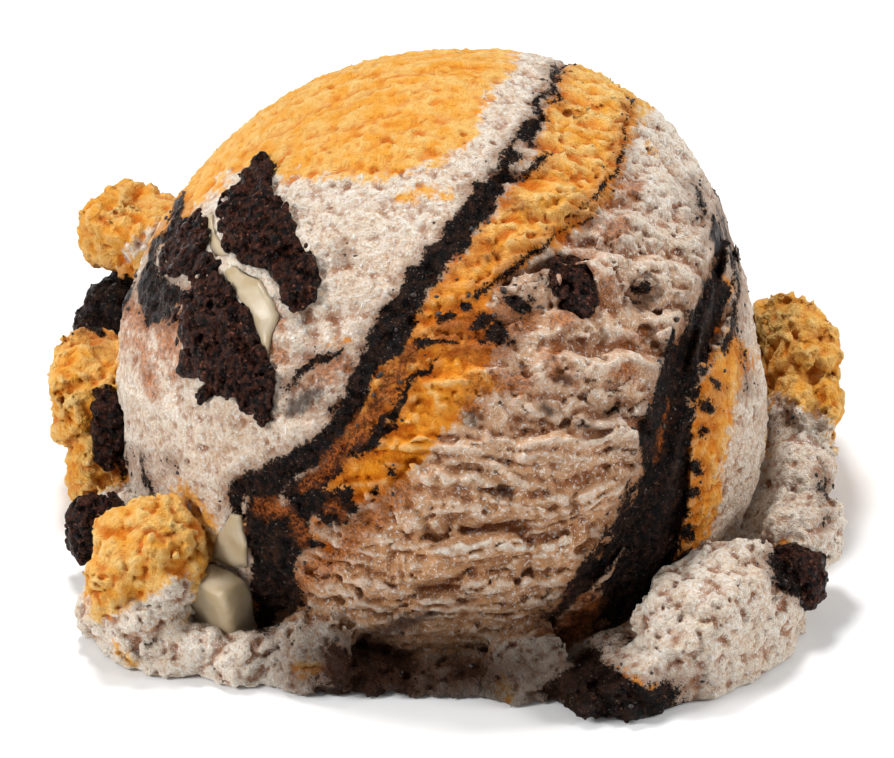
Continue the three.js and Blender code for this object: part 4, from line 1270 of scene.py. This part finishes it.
def chunk_field(depth, outline, crumbly):
    height = face_height_at(outline)

    def field(p):
        face = face_of(p)
        u, v, w = face
        r, broad = broad_ball(face)
        top = r - BALL_RADIUS - broad - CHUNK_PROUD
        ragged = (0.5 if crumbly else 0.12) * fine(p, 2.0, 111)
        sides = ragged - inside_outline(u, v, outline)
        shape = common(common(top, sides, 0.7), height - depth - w, 0.8)
        if crumbly:
            coarse, small = (pebbles(p, size, seed) for size, seed in zip(CHUNK_CRUMBS, (112, 113)))
            grain = 0.7 * coarse + 0.55 * small + 0.16 * fine(p, 0.45, 114)
            pores = 0.9 * ramp(0.3, 0.7, fine(p, 1.3, 115))
            return shape - grain + pores + 0.55
        return shape - 0.12 * fine(p, 1.8, 116)

    return field


def loose_field(shape, crumbly):
    def field(p):
        base = lump(p, shape)
        if crumbly:
            return base - 0.6 * pebbles(p, 1.6, 117) - 0.45 * pebbles(p, 0.8, 118) + 0.55
        return base - 0.1 * fine(p, 1.6, 119)

    return field


def box_of(node):
    low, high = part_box(node)
    return np.array(low) / MM - PIECE_MARGIN, np.array(high) / MM + PIECE_MARGIN


def make_chunks():
    looks = {
        "brownie": (brownie_material(), "brownie"),
        "white": (white_chocolate_material(), "white_chocolate"),
    }
    fields = {}
    for name, (depth, outline) in CHUNKS.items():
        fields[name] = chunk_field(depth, outline, name.startswith("brownie"))
    for name, shape in LOOSE_CHUNKS.items():
        fields[name] = loose_field(shape, name.startswith("brownie"))
    for name, field in fields.items():
        low, high = box_of(name)
        points, quads = surface_of(field, low, high, CHUNK_STEP)
        piece = mesh_piece(name + "_look", points, quads)
        material, slot = looks[name.split("_")[0]]
        dress(piece, material, slot, [name])


def make_crumbs(points, layers):
    """Loose dark crumbs along the edges of the ripples and dark patches, joined in one piece."""
    pick = np.random.default_rng(5)
    edge = np.exp(-((layers["cookie"] + 0.3) / 0.5) ** 2) + 0.25 * (layers["cookie"] > 0)
    chance = edge * (points[:, 2] > 1.5)
    count = LOOSE_CRUMBS["count"]
    chosen = pick.choice(len(points), count, replace=False, p=chance / chance.sum())
    ball = bmesh.new()
    bmesh.ops.create_icosphere(ball, subdivisions=1, radius=1)
    shape = np.array([v.co[:] for v in ball.verts])
    faces = np.array([[v.index for v in f.verts] for f in ball.faces])
    ball.free()
    size = LOOSE_CRUMBS["least"] + LOOSE_CRUMBS["spread"] * pick.random(count) ** 2.5
    stretch = pick.uniform(0.6, 1.2, (count, 1, 3))
    rough = pick.uniform(0.72, 1.2, (count, len(shape), 1))
    every = points[chosen][:, None] + shape[None] * stretch * rough * size[:, None, None]
    offsets = np.arange(count)[:, None, None] * len(shape)
    piece = mesh_piece("cookie_crumbs", every.reshape(-1, 3), (faces[None] + offsets).reshape(-1, 3))
    s = Shader("cookie_crumb")
    colour = s.mix(s.range(s.noise(0.5), 0.4, 0.7), srgb(26, 20, 17), srgb(62, 40, 30))
    dress(piece, s.set_surface({"Base Color": colour, "Roughness": 0.42}), "cookie_ripple", [])


# ---------------------------------------------------------------- studio
PIXEL = 60 / 650  # mm of the ball for each pixel of the photograph
FRAME_WIDTH = 894 * PIXEL
BALL_PIXEL = (440, 376)
FRAME_CENTRE = (447, 379)
CAMERA_DISTANCE = 1000.0
FLOOR_SIZE = 4.0  # in metres, as are the lights' distance and sizes
FLOOR_GAP = 0.2  # between the floor and the scoop's base, in millimetres
LIGHT_DISTANCE = 0.6
# Azimuth, elevation, size and power of each light.
LIGHTS = {"key": (112, 72, 0.12, 2.65), "left": (202, 32, 0.16, 2.7), "right": (-10, 28, 0.2, 2.1)}
WORLD_STRENGTH = 0.34


def make_camera():
    data = bpy.data.cameras.new("camera")
    data.sensor_width = 36
    data.lens = data.sensor_width * CAMERA_DISTANCE / FRAME_WIDTH
    data.clip_end = 10
    camera = bpy.data.objects.new("camera", data)
    right = (FRAME_CENTRE[0] - BALL_PIXEL[0]) * PIXEL
    up = (BALL_PIXEL[1] - FRAME_CENTRE[1]) * PIXEL
    camera.location = Vector(world_of((right, up, CAMERA_DISTANCE))) * MM
    camera.rotation_euler = (math.pi / 2 - FACE_TILT, 0, 0)
    bpy.context.scene.collection.objects.link(camera)
    bpy.context.scene.camera = camera


def make_light(name, azimuth, elevation, size, power):
    data = bpy.data.lights.new(name, "AREA")
    data.size, data.energy = size, power
    light = bpy.data.objects.new(name, data)
    a, e = math.radians(azimuth), math.radians(elevation)
    spot = Vector((math.cos(a) * math.cos(e), math.sin(a) * math.cos(e), math.sin(e)))
    light.location = spot * LIGHT_DISTANCE
    light.rotation_euler = spot.to_track_quat("Z", "Y").to_euler()
    bpy.context.scene.collection.objects.link(light)


def make_studio():
    bpy.ops.mesh.primitive_plane_add(size=FLOOR_SIZE, location=(0, 0, -FLOOR_GAP * MM))
    floor = bpy.context.object
    floor.name = "floor"
    grey = srgb(236, 236, 236)
    floor.data.materials.append(Shader("floor").set_surface({"Base Color": grey, "Roughness": 0.9}))
    floor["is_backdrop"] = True
    world = bpy.data.worlds.new("studio")
    world.use_nodes = True
    background = world.node_tree.nodes["Background"].inputs
    background["Color"].default_value = (1, 1, 1, 1)
    background["Strength"].default_value = WORLD_STRENGTH
    bpy.context.scene.world = world
    for name, values in LIGHTS.items():
        make_light(name, *values)
    bpy.context.scene.view_settings.view_transform = "Standard"


make_camera()
make_studio()
scoop_points, scoop_layers = make_scoop()
make_crumbs(scoop_points, scoop_layers)
make_chunks()

boxes = {"cad": cad_box, "visual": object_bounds()}
{name: [list(corner) for corner in box] for name, box in boxes.items()}
